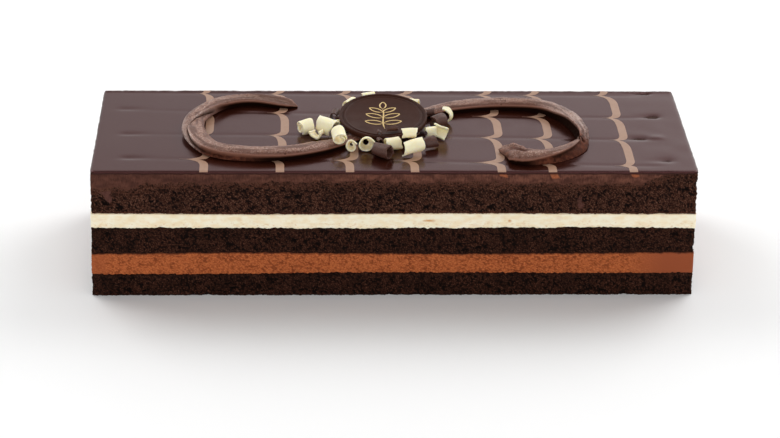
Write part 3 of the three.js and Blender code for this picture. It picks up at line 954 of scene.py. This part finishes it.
def layer_walls(name, rows):
    """The four walls of a layer, one metre high for now, with rounded corners and a fine grid."""
    piece = start(name, bpy.ops.mesh.primitive_cube_add, size=1, location=(0, 0, 0.5))
    stretch_to_bar(piece)
    select(piece, "FACE", lambda facing: np.abs(facing[:, 2]) > 0.5)
    bpy.ops.mesh.delete(type="ONLY_FACE")
    select(piece, "EDGE", lambda a, b: np.abs(b - a)[:, 2] > UPRIGHT_OVER)
    bpy.ops.mesh.bevel(offset=CORNER * MM, segments=3)
    bpy.ops.object.mode_set(mode="OBJECT")
    for cuts in CUTS_ALONG:
        cut(piece, 0, CUT_OVER, cuts)
    for cuts in CUTS_ACROSS:
        cut(piece, 1, CUT_OVER, cuts)
    cut(piece, 2, UPRIGHT_OVER, rows - 1)
    return piece


def on_front(y):
    """1 on the front face, and 0 a little behind it."""
    begins, full = FRONT_SKIN
    return fade(y, begins - HALF_DEPTH, full - HALF_DEPTH)


def smeared(points):
    """Where the knife dragged ganache down over the upper sponge, as a share."""
    x, y, z = points.T
    ragged = 0.4 * lumps(points * (1, 1, 0.5), 1.4, 33) + 0.3 * lumps(points, 2.8, 34)
    middle = TONGUE_X + TONGUE_LEAN * (TONGUE_Z - z)
    half = TONGUE_TIP_HALF + TONGUE_WIDENING * np.clip(z - TONGUE_TIP, 0, TONGUE_HEIGHT)
    tongue = 1 - np.abs(x - middle) / half - fade(z, *TONGUE_TIP_SPAN)
    streak = 1 - np.hypot((x - STREAK_MIDDLE[0]) / STREAK_HALF[0], (z - STREAK_MIDDLE[1]) / STREAK_HALF[1])
    faint = STREAK_SHARE * fade(streak + ragged, 0.0, 0.8)
    return on_front(y) * np.maximum(fade(tongue + ragged, 0.0, 0.6), faint)


def sponge_relief(points):
    """Small round crumbs, with gaps between them and holes where bubbles were."""
    crumbs = pits(points, size=0.8, share=1.0, seed=10, least=0.45, spread=0.35)
    clumps = lumps(points, 1.8, 2)
    bubbles = pits(points * (0.7, 0.7, 1.1), size=3.2, share=0.3, seed=15)
    relief = -CRUMB_SINK + CRUMB_HEIGHT * crumbs + CLUMP_HEIGHT * clumps - BUBBLE_DEPTH * bubbles
    # How deep in a gap or a bubble a point lies, where the finish paints shade
    hollow = np.clip(0.75 - 1.3 * crumbs - 0.35 * clumps + 0.7 * bubbles, 0, 1)
    smear = smeared(points)
    dragged = 0.12 + 0.2 * lumps(points, 1.4, 35)
    return relief * (1 - smear) + dragged * smear, {"hollow": hollow * (1 - smear), "smear": smear}


def milk_relief(points):
    """Aerated mousse: rough grains, smoothed by the knife towards the ends."""
    x, y = points[:, 0], points[:, 1]
    smooth = fade(x, *MILK_SMOOTH_RIGHT) * fade(y, *MILK_SMOOTH_FRONT) + 0.5 * fade(x, *MILK_SMOOTH_LEFT)
    grains = pits(points * (0.75, 0.75, 1.1), size=0.75, share=1.0, seed=30, least=0.45, spread=0.35)
    relief = (-MILK_SINK + MILK_GRAIN * grains + 0.1 * lumps(points, 0.7, 3)) * (1 - 0.85 * smooth)
    # How deep in a gap between grains a point lies, where the finish paints shade
    hollow = np.clip(0.7 - 1.4 * grains + 0.35 * lumps(points, 2.5, 14), 0, 1)
    return 0.1 + relief, {"hollow": hollow * (1 - smooth), "smooth": smooth}


def white_relief(points):
    """Smooth mousse with a few dragged pits."""
    x, y, z = points.T
    grain = 0.07 * lumps(points * (0.6, 0.6, 1), 2.2, 5) + 0.05 * lumps(points, 0.7, 6)
    # Pits and dents, sunk into the relief and painted in shade by the finish
    hollow = 0.4 * (pits(points * (0.7, 0.7, 1), size=2.6, share=0.12, seed=40) * 0.5)
    for dent_x, dent_z, half_length, half_height in WHITE_DENTS:
        dent = 1 - ((x - dent_x) / half_length) ** 2 - ((z - dent_z) / half_height) ** 2
        hollow = np.maximum(hollow, on_front(y) * np.clip(dent, 0, 1))
    return 0.2 + grain - WHITE_DENT_DEPTH * hollow, {"hollow": hollow}


def ganache_relief(points):
    """Fine upright streaks from the knife, and icing that ran over the front edge."""
    x, y, z = points.T
    streak = 0.07 * lumps(points * (1, 1, 0.25), 0.8, 7) + 0.12 * lumps(points * (1, 1, 0.5), 3.0, 8)
    grain = 0.08 * lumps(points, 0.8, 9)
    drip = np.zeros(len(x))
    for line in FEATHERS:
        low = TOP - line["drip"] + 0.5 * lumps(points * (1, 1, 0), 1.0, 12)
        beside = DRIP_HALF - np.abs(x - line["front"] - DRIP_LEAN * (TOP - z)) + 0.3 * lumps(points, 1.2, 13)
        drip = np.maximum(drip, fade(beside, 0, 0.4) * fade(z, low - 0.3, low + 0.3) * (y < 0))
    crumb, numbers = sponge_relief(points)
    over_seam = z - seam_height(len(SEAMS) - 1, x, y) + 0.9 * lumps(points, 2.2, 16)
    sponge = fade(over_seam, *GANACHE_TO_SPONGE) * (1 - drip)
    under_lip = under_top(z, UNDER_LIP)
    relief = (0.05 + streak + grain + DRIP_HEIGHT * drip) * (1 - sponge) + crumb * sponge
    relief = relief * (1 - under_lip) - UNDER_LIP_DEPTH * under_lip
    return relief, {**numbers, "drip": drip, "left": fade(x, *GANACHE_DARKENS), "sponge": sponge}


def build_layer(index, name, relief, material, slot):
    """One layer: its walls, cut unevenly above and below, with the relief of its own crumb."""
    thickness = (SEAMS[index + 1]["height"] if index + 1 < len(SEAMS) else TOP) - SEAMS[index]["height"]
    piece = layer_walls(name + "_cut", round(thickness / GRID_STEP))
    mesh = piece.data
    points = places(mesh)
    out = normals(mesh)
    share = points[:, 2] * MM
    x, y = points[:, 0], points[:, 1]
    low = seam_height(index, x, y)
    high = seam_height(index + 1, x, y) if index + 1 < len(SEAMS) else np.full(len(x), TOP - GLAZE_SKIN / 2)
    points[:, 2] = low + (high - low) * share
    depth, numbers = relief(points)
    for label, values in {**numbers, "below": points[:, 2] - low, "above": high - points[:, 2]}.items():
        store(mesh, label, values)
    points += out * depth[:, None]
    points[:, 0] *= 1 + SIDE_LEAN * (1 - points[:, 2] / TOP)
    set_places(mesh, points)
    close_edges(piece)
    return finish_piece(piece, material, slot, [name])


def build_layers():
    """The layers from the bottom up. A sponge's colours: painted highlight, crumb, painted shade and crust.
    """
    upper = colour(116, 80, 64), colour(54, 28, 19), colour(15, 6, 4), colour(84, 50, 38)
    lower = colour(94, 60, 46), colour(43, 20, 12), colour(13, 5, 3), colour(42, 22, 15)
    lower_sponge = sponge_finish("lower_sponge", *lower)
    build_layer(0, "sponge_bottom", sponge_relief, lower_sponge, "chocolate_sponge")
    build_layer(1, "mousse_milk", milk_relief, milk_mousse_finish(), "milk_mousse")
    build_layer(2, "sponge_middle", sponge_relief, lower_sponge, "chocolate_sponge")
    build_layer(3, "mousse_white", white_relief, white_mousse_finish(), "white_mousse")
    build_layer(4, "sponge_top", sponge_relief, sponge_finish("upper_sponge", *upper), "chocolate_sponge")
    build_layer(5, "ganache_top", ganache_relief, cut_ganache_finish(*upper), "ganache_glaze")


# The glaze and its feathered lines

def drag_line(drag, x):
    return np.interp(x, DRAG_STATIONS, DRAGS[drag])


def glaze_height(x, y):
    """Height of the poured glaze: a low groove along each drag, dimples at their ends, rounded edges."""
    flat = on_plan(x, y)
    mottle = GLAZE_MOTTLE * lumps(flat, GLAZE_MOTTLE_SIZE, 52) * fade(x, *GLAZE_MOTTLE_SPAN)
    height = np.full(len(x), TOP)
    height += GLAZE_SWELL * lumps(flat, GLAZE_SWELL_SIZE, 50) + mottle
    strength = fade(x, *DRAG_GROWS) * (1 - DRAG_FAINT) + DRAG_FAINT
    inside = between(x, *DRAG_SPAN) * strength
    for drag in range(len(DRAGS)):
        height -= DRAG_DEPTH * inside * bell(y - drag_line(drag, x), DRAG_HALF)
    for dimple_x, dimple_y, depth, half_length, half_width in DIMPLES:
        long = half_length * np.where((x - dimple_x) * dimple_x < 0, DIMPLE_INWARD, DIMPLE_OUTWARD)
        wide = half_width * np.where(y > dimple_y, DIMPLE_BEHIND, DIMPLE_BEFORE)
        height -= depth * np.exp(-(((x - dimple_x) / long) ** 2) - ((y - dimple_y) / wide) ** 2)
    edge = np.minimum(HALF_LENGTH - np.abs(x), HALF_DEPTH - np.abs(y))
    height -= GLAZE_EDGE_DROP * (1 - np.clip(edge / GLAZE_EDGE_WIDTH, 0, 1)) ** 2
    begins, full = BACK_RIDGE_SPAN
    ridge = BACK_RIDGE + BACK_RIDGE_ROUGH * lumps(flat, 1.6, 51)
    height += ridge * fade(y, HALF_DEPTH - begins, HALF_DEPTH - full)
    return height


def build_glaze():
    """The skin of the ganache: a sheet with a lip turned down over the cut."""
    piece = start("glaze", bpy.ops.mesh.primitive_grid_add, x_subdivisions=GLAZE_CELLS[0],
                  y_subdivisions=GLAZE_CELLS[1], size=1)
    stretch_to_bar(piece)
    points = places(piece.data)
    flat = on_plan(points[:, 0], points[:, 1])
    x, y = flat[:, 0], flat[:, 1]
    points[:, 2] = glaze_height(x, y)
    past_end, past_side = np.abs(x) - HALF_LENGTH, np.abs(y) - HALF_DEPTH
    rim = fade(np.maximum(past_end, past_side), -GLAZE_RIM, 0)
    ragged = GLAZE_RIM_ROUGH * lumps(flat, 2.4, 55) + GLAZE_RIM_OUT
    corner = np.clip(np.minimum(past_end + GLAZE_CORNER, past_side + GLAZE_CORNER), 0, GLAZE_CORNER)
    for axis, past in enumerate((past_end, past_side)):
        out = rim * ragged * (past > -GLAZE_RIM) - GLAZE_CORNER_CUT * corner
        points[:, axis] += np.sign(flat[:, axis]) * out
    set_places(piece.data, points)
    close_edges(piece, GLAZE_SKIN)
    points = places(piece.data)
    points[:, 2] += LIP_ROUGH * lumps(points * (1, 1, 0), 1.3, 56) * under_top(points[:, 2], LIP_ROUGH_SPAN)
    set_places(piece.data, points)
    store(piece.data, "rim", under_top(points[:, 2], LIP_DULL_SPAN))
    return finish_piece(piece, glaze_finish(), "ganache_glaze", ["ganache_top"])


def bezier(a, b, c, d, steps):
    """Points along a cubic curve."""
    a, b, c, d = (np.array(p, float) for p in (a, b, c, d))
    t = np.linspace(0, 1, steps)[:, None]
    return (1 - t) ** 3 * a + 3 * (1 - t) ** 2 * t * b + 3 * (1 - t) * t**2 * c + t**3 * d


def ribbon(path, widths):
    """Points to the left of, on and to the right of a flat path, and the faces between them."""
    run = np.gradient(path, axis=0)
    run /= np.linalg.norm(run, axis=1)[:, None]
    side = np.stack([-run[:, 1], run[:, 0]], axis=1) * widths[:, None] / 2
    points = np.stack([path + side, path, path - side], axis=1).reshape(-1, 2)
    faces = []
    for s in range(len(path) - 1):
        for k in range(2):
            a = 3 * s + k
            faces.append((a, a + 1, a + 4, a + 3))
    return points, faces


def lay(points, faces, flat, heights, flat_faces):
    """Adds a ribbon at its heights to the points and faces of others."""
    first = len(points)
    points.extend(np.column_stack([flat, heights]))
    faces.extend(tuple(first + k for k in face) for face in flat_faces)


def feather_bow(low, high, bow, whole=True):
    """One bow of a line from one drag to the next behind it, and its width as a share of the full width.

    A bow that isn't whole has no foot.
    """
    (x0, y0), (x1, y1) = low, high
    foot_steps, shaft_steps, head_steps = BOW_STEPS

    def on_bow(share):
        return bow, y0 + share * (y1 - y0)

    begin, end = (on_bow(share) for share in BOW_SHAFT)
    before, up_from, up_to, after = (on_bow(share) for share in BOW_HANDLES)
    tail = x0 + BOW_FOOT_FROM * (bow - x0), y0
    foot = bezier(tail, (bow - BOW_FOOT_REACH, y0), before, begin, foot_steps)
    shaft = bezier(begin, up_from, up_to, end, shaft_steps)
    head = bezier(end, after, (bow - BOW_HEAD_REACH * (bow - x1), y1), (x1, y1), head_steps)
    path = [foot[:-1], shaft[:-1], head]
    widths = [
        fade(np.linspace(0, 1, foot_steps - 1), -0.1, 0.8),
        np.ones(shaft_steps - 1),
        1 - fade(np.linspace(0, 1, head_steps), 0.1, 1.0),
    ]
    first = 0 if whole else 1
    return np.vstack(path[first:]), np.concatenate(widths[first:])


def feather_paths(line):
    """The bows of one line from the front edge to the back."""
    tips = [(x, float(drag_line(k, x))) for k, x in enumerate(line["tips"])]
    run = tips[0][1] + HALF_DEPTH
    yield feather_bow((line["front"], -HALF_DEPTH - run / 4), tips[0], line["front"], whole=False)
    for low, high, bow in zip(tips, tips[1:], line["bows"]):
        yield feather_bow(low, high, bow)
    last = tips[-1]
    yield feather_bow(last, (last[0], 2 * HALF_DEPTH), line["bows"][-1])


def build_feathers():
    """Icing lines laid on the glaze and combed into bows."""
    points, faces, thin = [], [], []
    for line in FEATHERS:
        for path, body in feather_paths(line):
            inside = np.abs(path[:, 1]) < HALF_DEPTH + FEATHER_OVERRUN
            path, body = path[inside], body[inside]
            flat, flat_faces = ribbon(path, FEATHER_TIP_WIDTH + (FEATHER_WIDTH - FEATHER_TIP_WIDTH) * body)
            flat[:, 1] = np.clip(flat[:, 1], -HALF_DEPTH, HALF_DEPTH)
            lay(points, faces, flat, glaze_height(flat[:, 0], flat[:, 1]) + FEATHER_LIFT, flat_faces)
            thin.extend(np.repeat(FEATHER_THIN * fade(body, 0.3, 0.0), 3))
    piece = mesh_piece("feather_lines", points, faces)
    store(piece.data, "thin", np.array(thin))
    return finish_piece(piece, icing_finish())


# The piped scroll

def along(table, share):
    """A table's number at a share of the route."""
    return np.interp(share, *np.array(table).T)


def strip_along(table, share):
    """A strip's height beside the crest, height at its edge and reach, at a share of the route."""
    shares, *columns = np.array(table).T
    return [np.interp(share, shares, column) for column in columns]


def route_curve(route, steps):
    """A smooth curve through a route's points, centripetal Catmull-Rom: even points and their directions."""
    route = np.array(route, float)
    knots = np.array([2 * route[0] - route[1], *route, 2 * route[-1] - route[-2]])
    fine = []
    t = np.linspace(0, 1, ROUTE_FINE_STEPS, endpoint=False)[:, None]
    for a, b, c, d in zip(knots, knots[1:], knots[2:], knots[3:]):
        before, between_them, after = (math.sqrt(np.linalg.norm(q - p)) for p, q in ((a, b), (b, c), (c, d)))
        onwards = (c - b) / between_them
        leave = ((b - a) / before - (c - a) / (before + between_them) + onwards) * between_them
        arrive = (onwards - (d - b) / (between_them + after) + (d - c) / after) * between_them
        curve = b + leave * t + (3 * (c - b) - 2 * leave - arrive) * t**2
        fine.append(curve + (2 * (b - c) + leave + arrive) * t**3)
    fine = np.vstack([*fine, knots[-2:-1]])
    run = np.concatenate([[0], np.cumsum(np.linalg.norm(np.diff(fine, axis=0), axis=1))])
    even = np.linspace(0, run[-1], steps)
    path = np.stack([np.interp(even, run, fine[:, k]) for k in range(2)], axis=1)
    heading = np.gradient(path, axis=0)
    return path, heading / np.linalg.norm(heading, axis=1)[:, None]


def scroll_outline(crest, left_strip, right_strip):
    """Places out and up from the left foot over the top to the right one, and how many are on the left."""
    left, left_edge, left_out = left_strip
    right, right_edge, right_out = right_strip
    rounded = [(step, 1 - STRIP_ROUNDING * step**STRIP_ROUNDING_POWER) for step in STRIP_STEPS]
    ring = [(SCROLL_UNDERSIDE, 0.0)]
    ring += [(out * left_out, up * left_edge) for out, up in reversed(SCROLL_WALL)]
    for step, edge in reversed(rounded):
        ring.append((crest + (left_out - crest) * step, (left + (left_edge - left) * step) * edge))
    middle = len(ring)
    for step, edge in rounded:
        ring.append((crest - (right_out + crest) * step, (right + (right_edge - right) * step) * edge))
    ring += [(-out * right_out, up * right_edge) for out, up in SCROLL_WALL]
    ring.append((-SCROLL_UNDERSIDE, 0.0))
    return np.array(ring), middle


def scroll_ring(share, half_width, height, forward):
    """One cross-section of the scroll, with the lip and the groove along its crest.

    Gives places across and up in millimetres, and how much each is on the lip, in the hollow below it, on the
    strip that the nozzle turned to the outside, and on the side to the front.
    """
    crest = along(SCROLL_CREST, share)
    left_strip = strip_along(SCROLL_LEFT_STRIP, share)
    right_strip = strip_along(SCROLL_RIGHT_STRIP, share)
    (left, _, left_out), (right, _, right_out) = left_strip, right_strip
    ring, middle = scroll_outline(crest, left_strip, right_strip)
    out, up = ring.T
    back = out * forward
    fall = np.where(back < 0, SCROLL_FRONT_FALL, SCROLL_BACK_FALL) * back**2
    fall += SCROLL_CROWN * (1 - forward**2) * out**2
    up = up * height * (1 - fall + SCROLL_END_LEAN * fade(share, SCROLL_END_FROM, 1) * back)
    across = out * half_width
    away = np.abs(across - crest * half_width)
    order = np.arange(len(ring))
    on_left = order < middle
    topmost = (order > len(SCROLL_WALL)) & (order < len(ring) - len(SCROLL_WALL) - 1)
    left_high = fade(left - right, -STRIP_DROP, STRIP_DROP)
    high = np.where(on_left, left_high, 1 - left_high) * topmost
    low_width = np.where(on_left, left_out - crest, right_out + crest) * half_width
    groove = (1 - high) * topmost * fade(low_width, *GROOVE_GROWS)
    lip = high * bell(away, CREST_LIP_HALF)
    up = up + CREST_LIP * lip - GROOVE_DEPTH * groove * bell(away, GROOVE_HALF)
    across = across + (1 - 2 * left_high) * CREST_OVERHANG * high * bell(away, CREST_OVERHANG_HALF)
    # Where shade is painted: on an edge under the higher strip's lip, inside the right bend, and along the
    # groove
    left_under = (1 - left_high) * fade(left_out, *EDGE_UNDER)
    right_under = left_high * np.maximum(fade(right_out, *EDGE_UNDER), between(share, *RIGHT_BEND))
    under = np.where(on_left, left_under, right_under)
    hollow = np.maximum(under, GROOVE_SHADE * groove * bell(away, GROOVE_SHADE_HALF))
    left_turned = fade(share, *RIGHT_TURN) * fade(left_out, *EDGE_TURNED)
    right_turned = between(share, *LEFT_TURN) * fade(right_out, *EDGE_TURNED)
    turned = np.where(on_left, left_turned, right_turned)
    return across, np.maximum(up, 0), lip, hollow, turned, fade(back, *SCROLL_FRONT_SIDE)


def scroll_rings():
    """All cross-sections in their places: one table row a point, and the number of points in a ring.

    A row holds a point's X, Y and Z, how far out it is, its share of the route and scroll_ring's numbers.
    """
    share = np.linspace(0, 1, SCROLL_STATIONS)
    path, heading = route_curve(SCROLL_ROUTE, SCROLL_STATIONS)
    from_tip = np.minimum((share + SCROLL_TIP) / SCROLL_SWELLS, (1 + SCROLL_TIP - share) / SCROLL_SWELLS)
    swell = np.sqrt(np.clip(from_tip, 0, 1))
    half_width = along(SCROLL_WIDTH, share) / 2 * (SCROLL_TIP_WIDTH + (1 - SCROLL_TIP_WIDTH) * swell)
    height = along(SCROLL_HEIGHT, share) * (SCROLL_TIP_HEIGHT + (1 - SCROLL_TIP_HEIGHT) * swell)
    rows = []
    for s in range(SCROLL_STATIONS):
        across, up, *numbers = scroll_ring(share[s], half_width[s], height[s], heading[s, 0])
        out = across / half_width[s]
        lag = -SCROLL_END_SKEW * fade(share[s], SCROLL_END_FROM, 1) * out
        x = path[s, 0] - heading[s, 1] * across + heading[s, 0] * lag
        y = path[s, 1] + heading[s, 0] * across + heading[s, 1] * lag
        rows.append(np.stack([x, y, TOP + up, out, np.full(len(up), share[s]), *numbers], axis=1))
    return np.vstack(rows), len(rows[0])


def ring_faces(rings, count):
    """Faces between rings of points, and one over each end."""
    faces = []
    for ring in range(rings - 1):
        for k in range(count):
            a, b = ring * count + k, ring * count + (k + 1) % count
            faces.append((a, b, b + count, a + count))
    faces.append(tuple(range(count - 1, -1, -1)))
    faces.append(tuple((rings - 1) * count + k for k in range(count)))
    return faces


def build_scroll():
    """One piped ribbon, pitted by air and combed along its length, with a dished start and a torn end."""
    table, count = scroll_rings()
    points = table[:, :3]
    side, at, lip, under, turned, front = table[:, 3:].T
    piece = mesh_piece("scroll", points, ring_faces(SCROLL_STATIONS, count))
    edit(piece)
    face_outwards()
    mesh = piece.data
    facing = normals(mesh)
    up = facing[:, 2]
    raised = fade(points[:, 2] - TOP, *RELIEF_FROM)
    upward = fade(up, 0.3, 0.7) * fade(np.abs(side), 0.97, 0.9)
    rough = between(at, *RIGHT_ROUGH) + fade(at, *END_ROUGH)
    holes = pits(points, size=1.0, share=0.04, seed=60) * upward
    combed = on_plan(at * COMBED_LINES[0], side * COMBED_LINES[1])
    relief = 0.1 * lumps(combed, 1.0, 63) + 0.08 * lumps(points, 0.8, 62) + 0.14 * lumps(points, 2.6, 66)
    relief = relief * upward - AIR_HOLE_DEPTH * holes
    relief += rough * (0.35 * lumps(points, 1.5, 64) + 0.2 * lumps(points, 0.8, 65))
    dish = fade(at, *START_DISH) * fade(np.abs(side), *START_DISH_WIDTH)
    crater = between(at, *END_CRATER) * fade(np.abs(side - END_CRATER_SIDE), *END_CRATER_WIDTH)
    slit = bell(at - SLIT, SLIT_HALF) * fade(side, *SLIT_SIDE)
    relief -= START_DISH_DEPTH * dish + END_CRATER_DEPTH * crater + SLIT_DEPTH * slit
    # Painted shade in the air holes, the dish, the crater and the slit
    shaded = (holes + 0.42 * dish + 0.15 * crater + slit) * raised
    at_left_bend = between(at, *LEFT_BEND)
    # Painted sparkle on the right bend and on the right side of the left bend
    painted_sparkle = between(at, *RIGHT_PAINTED_SPARKLE) + 0.6 * at_left_bend * fade(-side, 0.5, 0.9)
    # Where a highlight is painted on the left bend: its outer rim, and the lip
    rim = np.maximum(fade(-side, 0.84, 0.95) * fade(up, -0.1, 0.15), lip)
    # For the finish: painted shade, a shaded front side and turned strip, painted highlights and sparkle
    store(mesh, "hollow", np.clip(np.maximum(under, shaded), 0, 1))
    store(mesh, "front", front)
    store(mesh, "lip", lip)
    store(mesh, "top", fade(up, 0.65, 0.95) * (1 - front) * (1 - turned))
    store(mesh, "turned", np.maximum(turned, 0.85 * crater))
    store(mesh, "streak", np.clip(0.5 + 0.5 * lumps(combed * (1.4, 0.8, 1), 1.0, 67), 0, 1))
    store(mesh, "rim", at_left_bend * rim)
    store(mesh, "painted_sparkle", painted_sparkle * fade(up, 0.2, 0.7))
    set_places(mesh, points + facing * (relief * raised)[:, None])
    return finish_piece(piece, piped_finish(), "piped_ganache", ["piped_scroll"])


# The plaque and its gold sprig

def plaque_place():
    """From the plaque's own plane to the cake, in millimetres."""
    lean = Matrix.Rotation(math.radians(PLAQUE_LEAN), 4, "X")
    return Matrix.Translation((*PLAQUE_CENTRE, TOP + PLAQUE_FOOT)) @ lean


def put(points, matrix):
    turn = np.array(matrix)
    return np.asarray(points) @ turn[:3, :3].T + turn[:3, 3]


def build_plaque():
    """A profile spun round the middle of the disc."""
    mesh = bpy.data.meshes.new("plaque_disc")
    profile = [(radius * MM, 0, height * MM) for radius, height in PLAQUE_PROFILE]
    mesh.from_pydata(profile, [(k, k + 1) for k in range(len(profile) - 1)], [])
    piece = bpy.data.objects.new("plaque_disc", mesh)
    bpy.context.scene.collection.objects.link(piece)
    edit(piece)
    bpy.ops.mesh.select_all(action="SELECT")
    bpy.ops.mesh.spin(steps=PLAQUE_SIDES, angle=2 * math.pi, center=(0, 0, 0), axis=(0, 0, 1))
    bpy.ops.mesh.select_all(action="SELECT")
    bpy.ops.mesh.remove_doubles(threshold=PLAQUE_MERGE * MM)
    face_outwards()
    set_places(mesh, put(places(mesh), plaque_place()))
    return finish_piece(piece, plaque_finish(), "dark_chocolate", ["plaque"])


def leaf_outline(base, tip, bulge):
    """An almond-shaped outline from base to tip and back."""
    base, tip = np.array(base, float), np.array(tip, float)
    run = tip - base
    side = np.array((-run[1], run[0])) * bulge
    near, far = base + 0.25 * run, base + 0.75 * run
    out = bezier(base, near + side, far + side, tip, SPRIG_LEAF_STEPS)
    back = bezier(tip, far - side, near - side, base, SPRIG_LEAF_STEPS)
    return np.vstack([out[:-1], back])


def build_sprig():
    """A gold sprig of leaves piped on the plaque."""
    stem = bezier(*SPRIG_STEM, SPRIG_STEM_STEPS)
    strokes = [stem, leaf_outline(SPRIG_STEM[-1], SPRIG_TIP, SPRIG_TIP_BULGE)]
    for height, length, rise in SPRIG_LEAVES:
        for way in (-1, 1):
            strokes.append(leaf_outline((0, height), (way * length, height + rise), SPRIG_LEAF_BULGE * way))
    points, faces = [], []
    for path in strokes:
        order = np.arange(len(path))
        taper = np.clip(np.minimum(order, order[::-1]) / SPRIG_TAPER_STEPS, SPRIG_TAPER_LEAST, 1)
        flat, flat_faces = ribbon(path, SPRIG_STROKE * taper)
        crown = np.tile((SPRIG_EDGE, SPRIG_HEIGHT, SPRIG_EDGE), len(path))
        lay(points, faces, flat, PLAQUE_FLOOR + crown, flat_faces)
    piece = mesh_piece("plaque_sprig", put(points, plaque_place()), faces)
    return finish_piece(piece, gold_finish())


# Shavings

def build_shaving(name, shaving, seed, material, slot, node):
    """A thin sheet rolled up about its own axis."""
    thickness = min(SHAVING_THICKNESS, SHAVING_THICKNESS_SHARE * shaving.radius)
    around = max(SHAVING_CELLS_LEAST, round(shaving.turns * SHAVING_CELLS_A_TURN))
    piece = start(name, bpy.ops.mesh.primitive_grid_add, x_subdivisions=SHAVING_CELLS,
                  y_subdivisions=around, size=1)
    sheet = places(piece.data) * MM + 0.5
    run, roll = sheet[:, 0], sheet[:, 1] * shaving.turns
    notch = on_plan(roll * SHAVING_NOTCHES_A_TURN, np.full(len(run), seed * SHAVING_NOTCH_SHIFT))
    ragged = SHAVING_NOTCH * lumps(notch, 1.0, seed) + SHAVING_FINE_NOTCH * lumps(notch, 0.4, seed + 50)
    axial = (run - 0.5) * (shaving.length - SHAVING_TRIM) + ragged * (2 * run - 1)
    near, far = (1 - sheet[:, 1]) ** 2, sheet[:, 1] ** 2
    weights = (run - 1) * near, run * near, (run - 1) * far, run * far
    for reach, weight in zip(shaving.corners, weights):
        axial = axial + reach * weight
    out = shaving.radius - thickness / 2 - (thickness + SHAVING_GAP) * roll
    out = out * (1 + shaving.flare * (run - 1))
    angle = roll * 2 * math.pi
    points = np.stack([axial, out * np.cos(angle), out * np.sin(angle)], axis=1)
    turn = (Matrix.Rotation(math.radians(shaving.heading), 4, "Z")
            @ Matrix.Rotation(-math.radians(shaving.up), 4, "Y")
            @ Matrix.Rotation(math.radians(shaving.roll), 4, "X")
            @ Matrix.Rotation(math.radians(-90), 4, "X"))
    points = put(points, turn)
    bent = [lumps(points + SHAVING_BENT_SHIFT * seed, SHAVING_BENT_SIZE, 200 + k) for k in range(3)]
    set_places(piece.data, points + SHAVING_BENT * np.stack(bent, axis=1))
    apply_modifier(piece, "SOLIDIFY", thickness=thickness * MM, offset=0)
    apply_modifier(piece, "BEVEL", width=SHAVING_BEVEL * MM, segments=2)
    points = places(piece.data)
    low = points[:, 2].min()
    points += (*shaving.at, TOP + shaving.foot - low)
    set_places(piece.data, points)
    return finish_piece(piece, material, slot, [node])


def build_shavings():
    white = white_chocolate_finish(), "white_chocolate"
    dark = dark_shaving_finish(), "dark_chocolate_curl"
    for prefix, table, finish in (("white_curl", WHITE_SHAVINGS, white), ("dark_curl", DARK_SHAVINGS, dark)):
        for number, shaving in enumerate(table, 1):
            node = f"{prefix}_{number:02d}"
            build_shaving(node + "_rolled", shaving, number, *finish, node)
    for number, (node, shaving) in enumerate(BROKEN_BITS, FIRST_BIT_SEED):
        build_shaving(node + "_bit", shaving, number, *(white if node.startswith("white") else dark), node)


# Camera, light and floor

def set_camera():
    yaw, pitch, roll = (math.radians(angle) for angle in (CAMERA_YAW, CAMERA_PITCH, CAMERA_ROLL))
    ahead = Vector((math.sin(yaw) * math.cos(pitch), math.cos(yaw) * math.cos(pitch), -math.sin(pitch)))
    level = Vector((math.cos(yaw), -math.sin(yaw), 0))
    upright = level.cross(ahead)
    right = math.cos(roll) * level + math.sin(roll) * upright
    up = math.cos(roll) * upright - math.sin(roll) * level
    data = bpy.data.cameras.new("camera")
    data.lens = CAMERA_LENS
    data.sensor_width = CAMERA_SENSOR
    data.clip_start = 0.01
    data.clip_end = 100
    camera = bpy.data.objects.new("camera", data)
    turn = Matrix((right, up, -ahead)).transposed().to_4x4()
    camera.matrix_world = Matrix.Translation(Vector(CAMERA_PLACE) * MM) @ turn
    bpy.context.scene.collection.objects.link(camera)
    bpy.context.scene.camera = camera


def add_softbox(name, place, target, size, power):
    data = bpy.data.lights.new(name, "AREA")
    data.shape = "RECTANGLE"
    data.size, data.size_y = size
    data.energy = power
    lamp = bpy.data.objects.new(name, data)
    lamp.location = place
    lamp.rotation_euler = (Vector(target) - Vector(place)).to_track_quat("-Z", "Y").to_euler()
    bpy.context.scene.collection.objects.link(lamp)


def set_backdrop():
    """A white room, brighter low down and towards the right, and dim high up in front."""
    world = bpy.data.worlds.new("studio")
    room = Nodes(world)
    background = room.tree.nodes["Background"]
    room.feed(background.inputs["Color"], WHITE)
    aim = room.node("ShaderNodeTexCoord", output="Generated")
    x, y, z = (room.node("ShaderNodeSeparateXYZ", {}, {0: aim}, axis) for axis in "XYZ")
    sides = room.ramp(x, -0.15, 0.2, 0.8, 1.16, "LINEAR") * room.ramp(z, 0.55, 0.8, 1.0, 0.55, "LINEAR")
    low = room.ramp(z, 0.3, 0.6, 1.0, 0.6, "LINEAR")
    behind = room.ramp(y, -0.1, 0.3, 0.6, 1.0, "LINEAR")
    room.feed(background.inputs["Strength"], sides * room.maths("MAXIMUM", low, behind))
    bpy.context.scene.world = world


def set_studio():
    bpy.context.scene.view_settings.view_transform = "Standard"
    set_backdrop()
    for name, facts in SOFTBOXES.items():
        add_softbox(name, *facts)
    floor = start("floor", bpy.ops.mesh.primitive_plane_add, size=FLOOR_SIZE)
    finish = Finish("floor_white", Base_Color=FLOOR_WHITE, Roughness=0.6)
    floor.data.materials.append(finish.material)


set_camera()
set_studio()
build_layers()
build_glaze()
build_feathers()
build_scroll()
build_plaque()
build_sprig()
build_shavings()
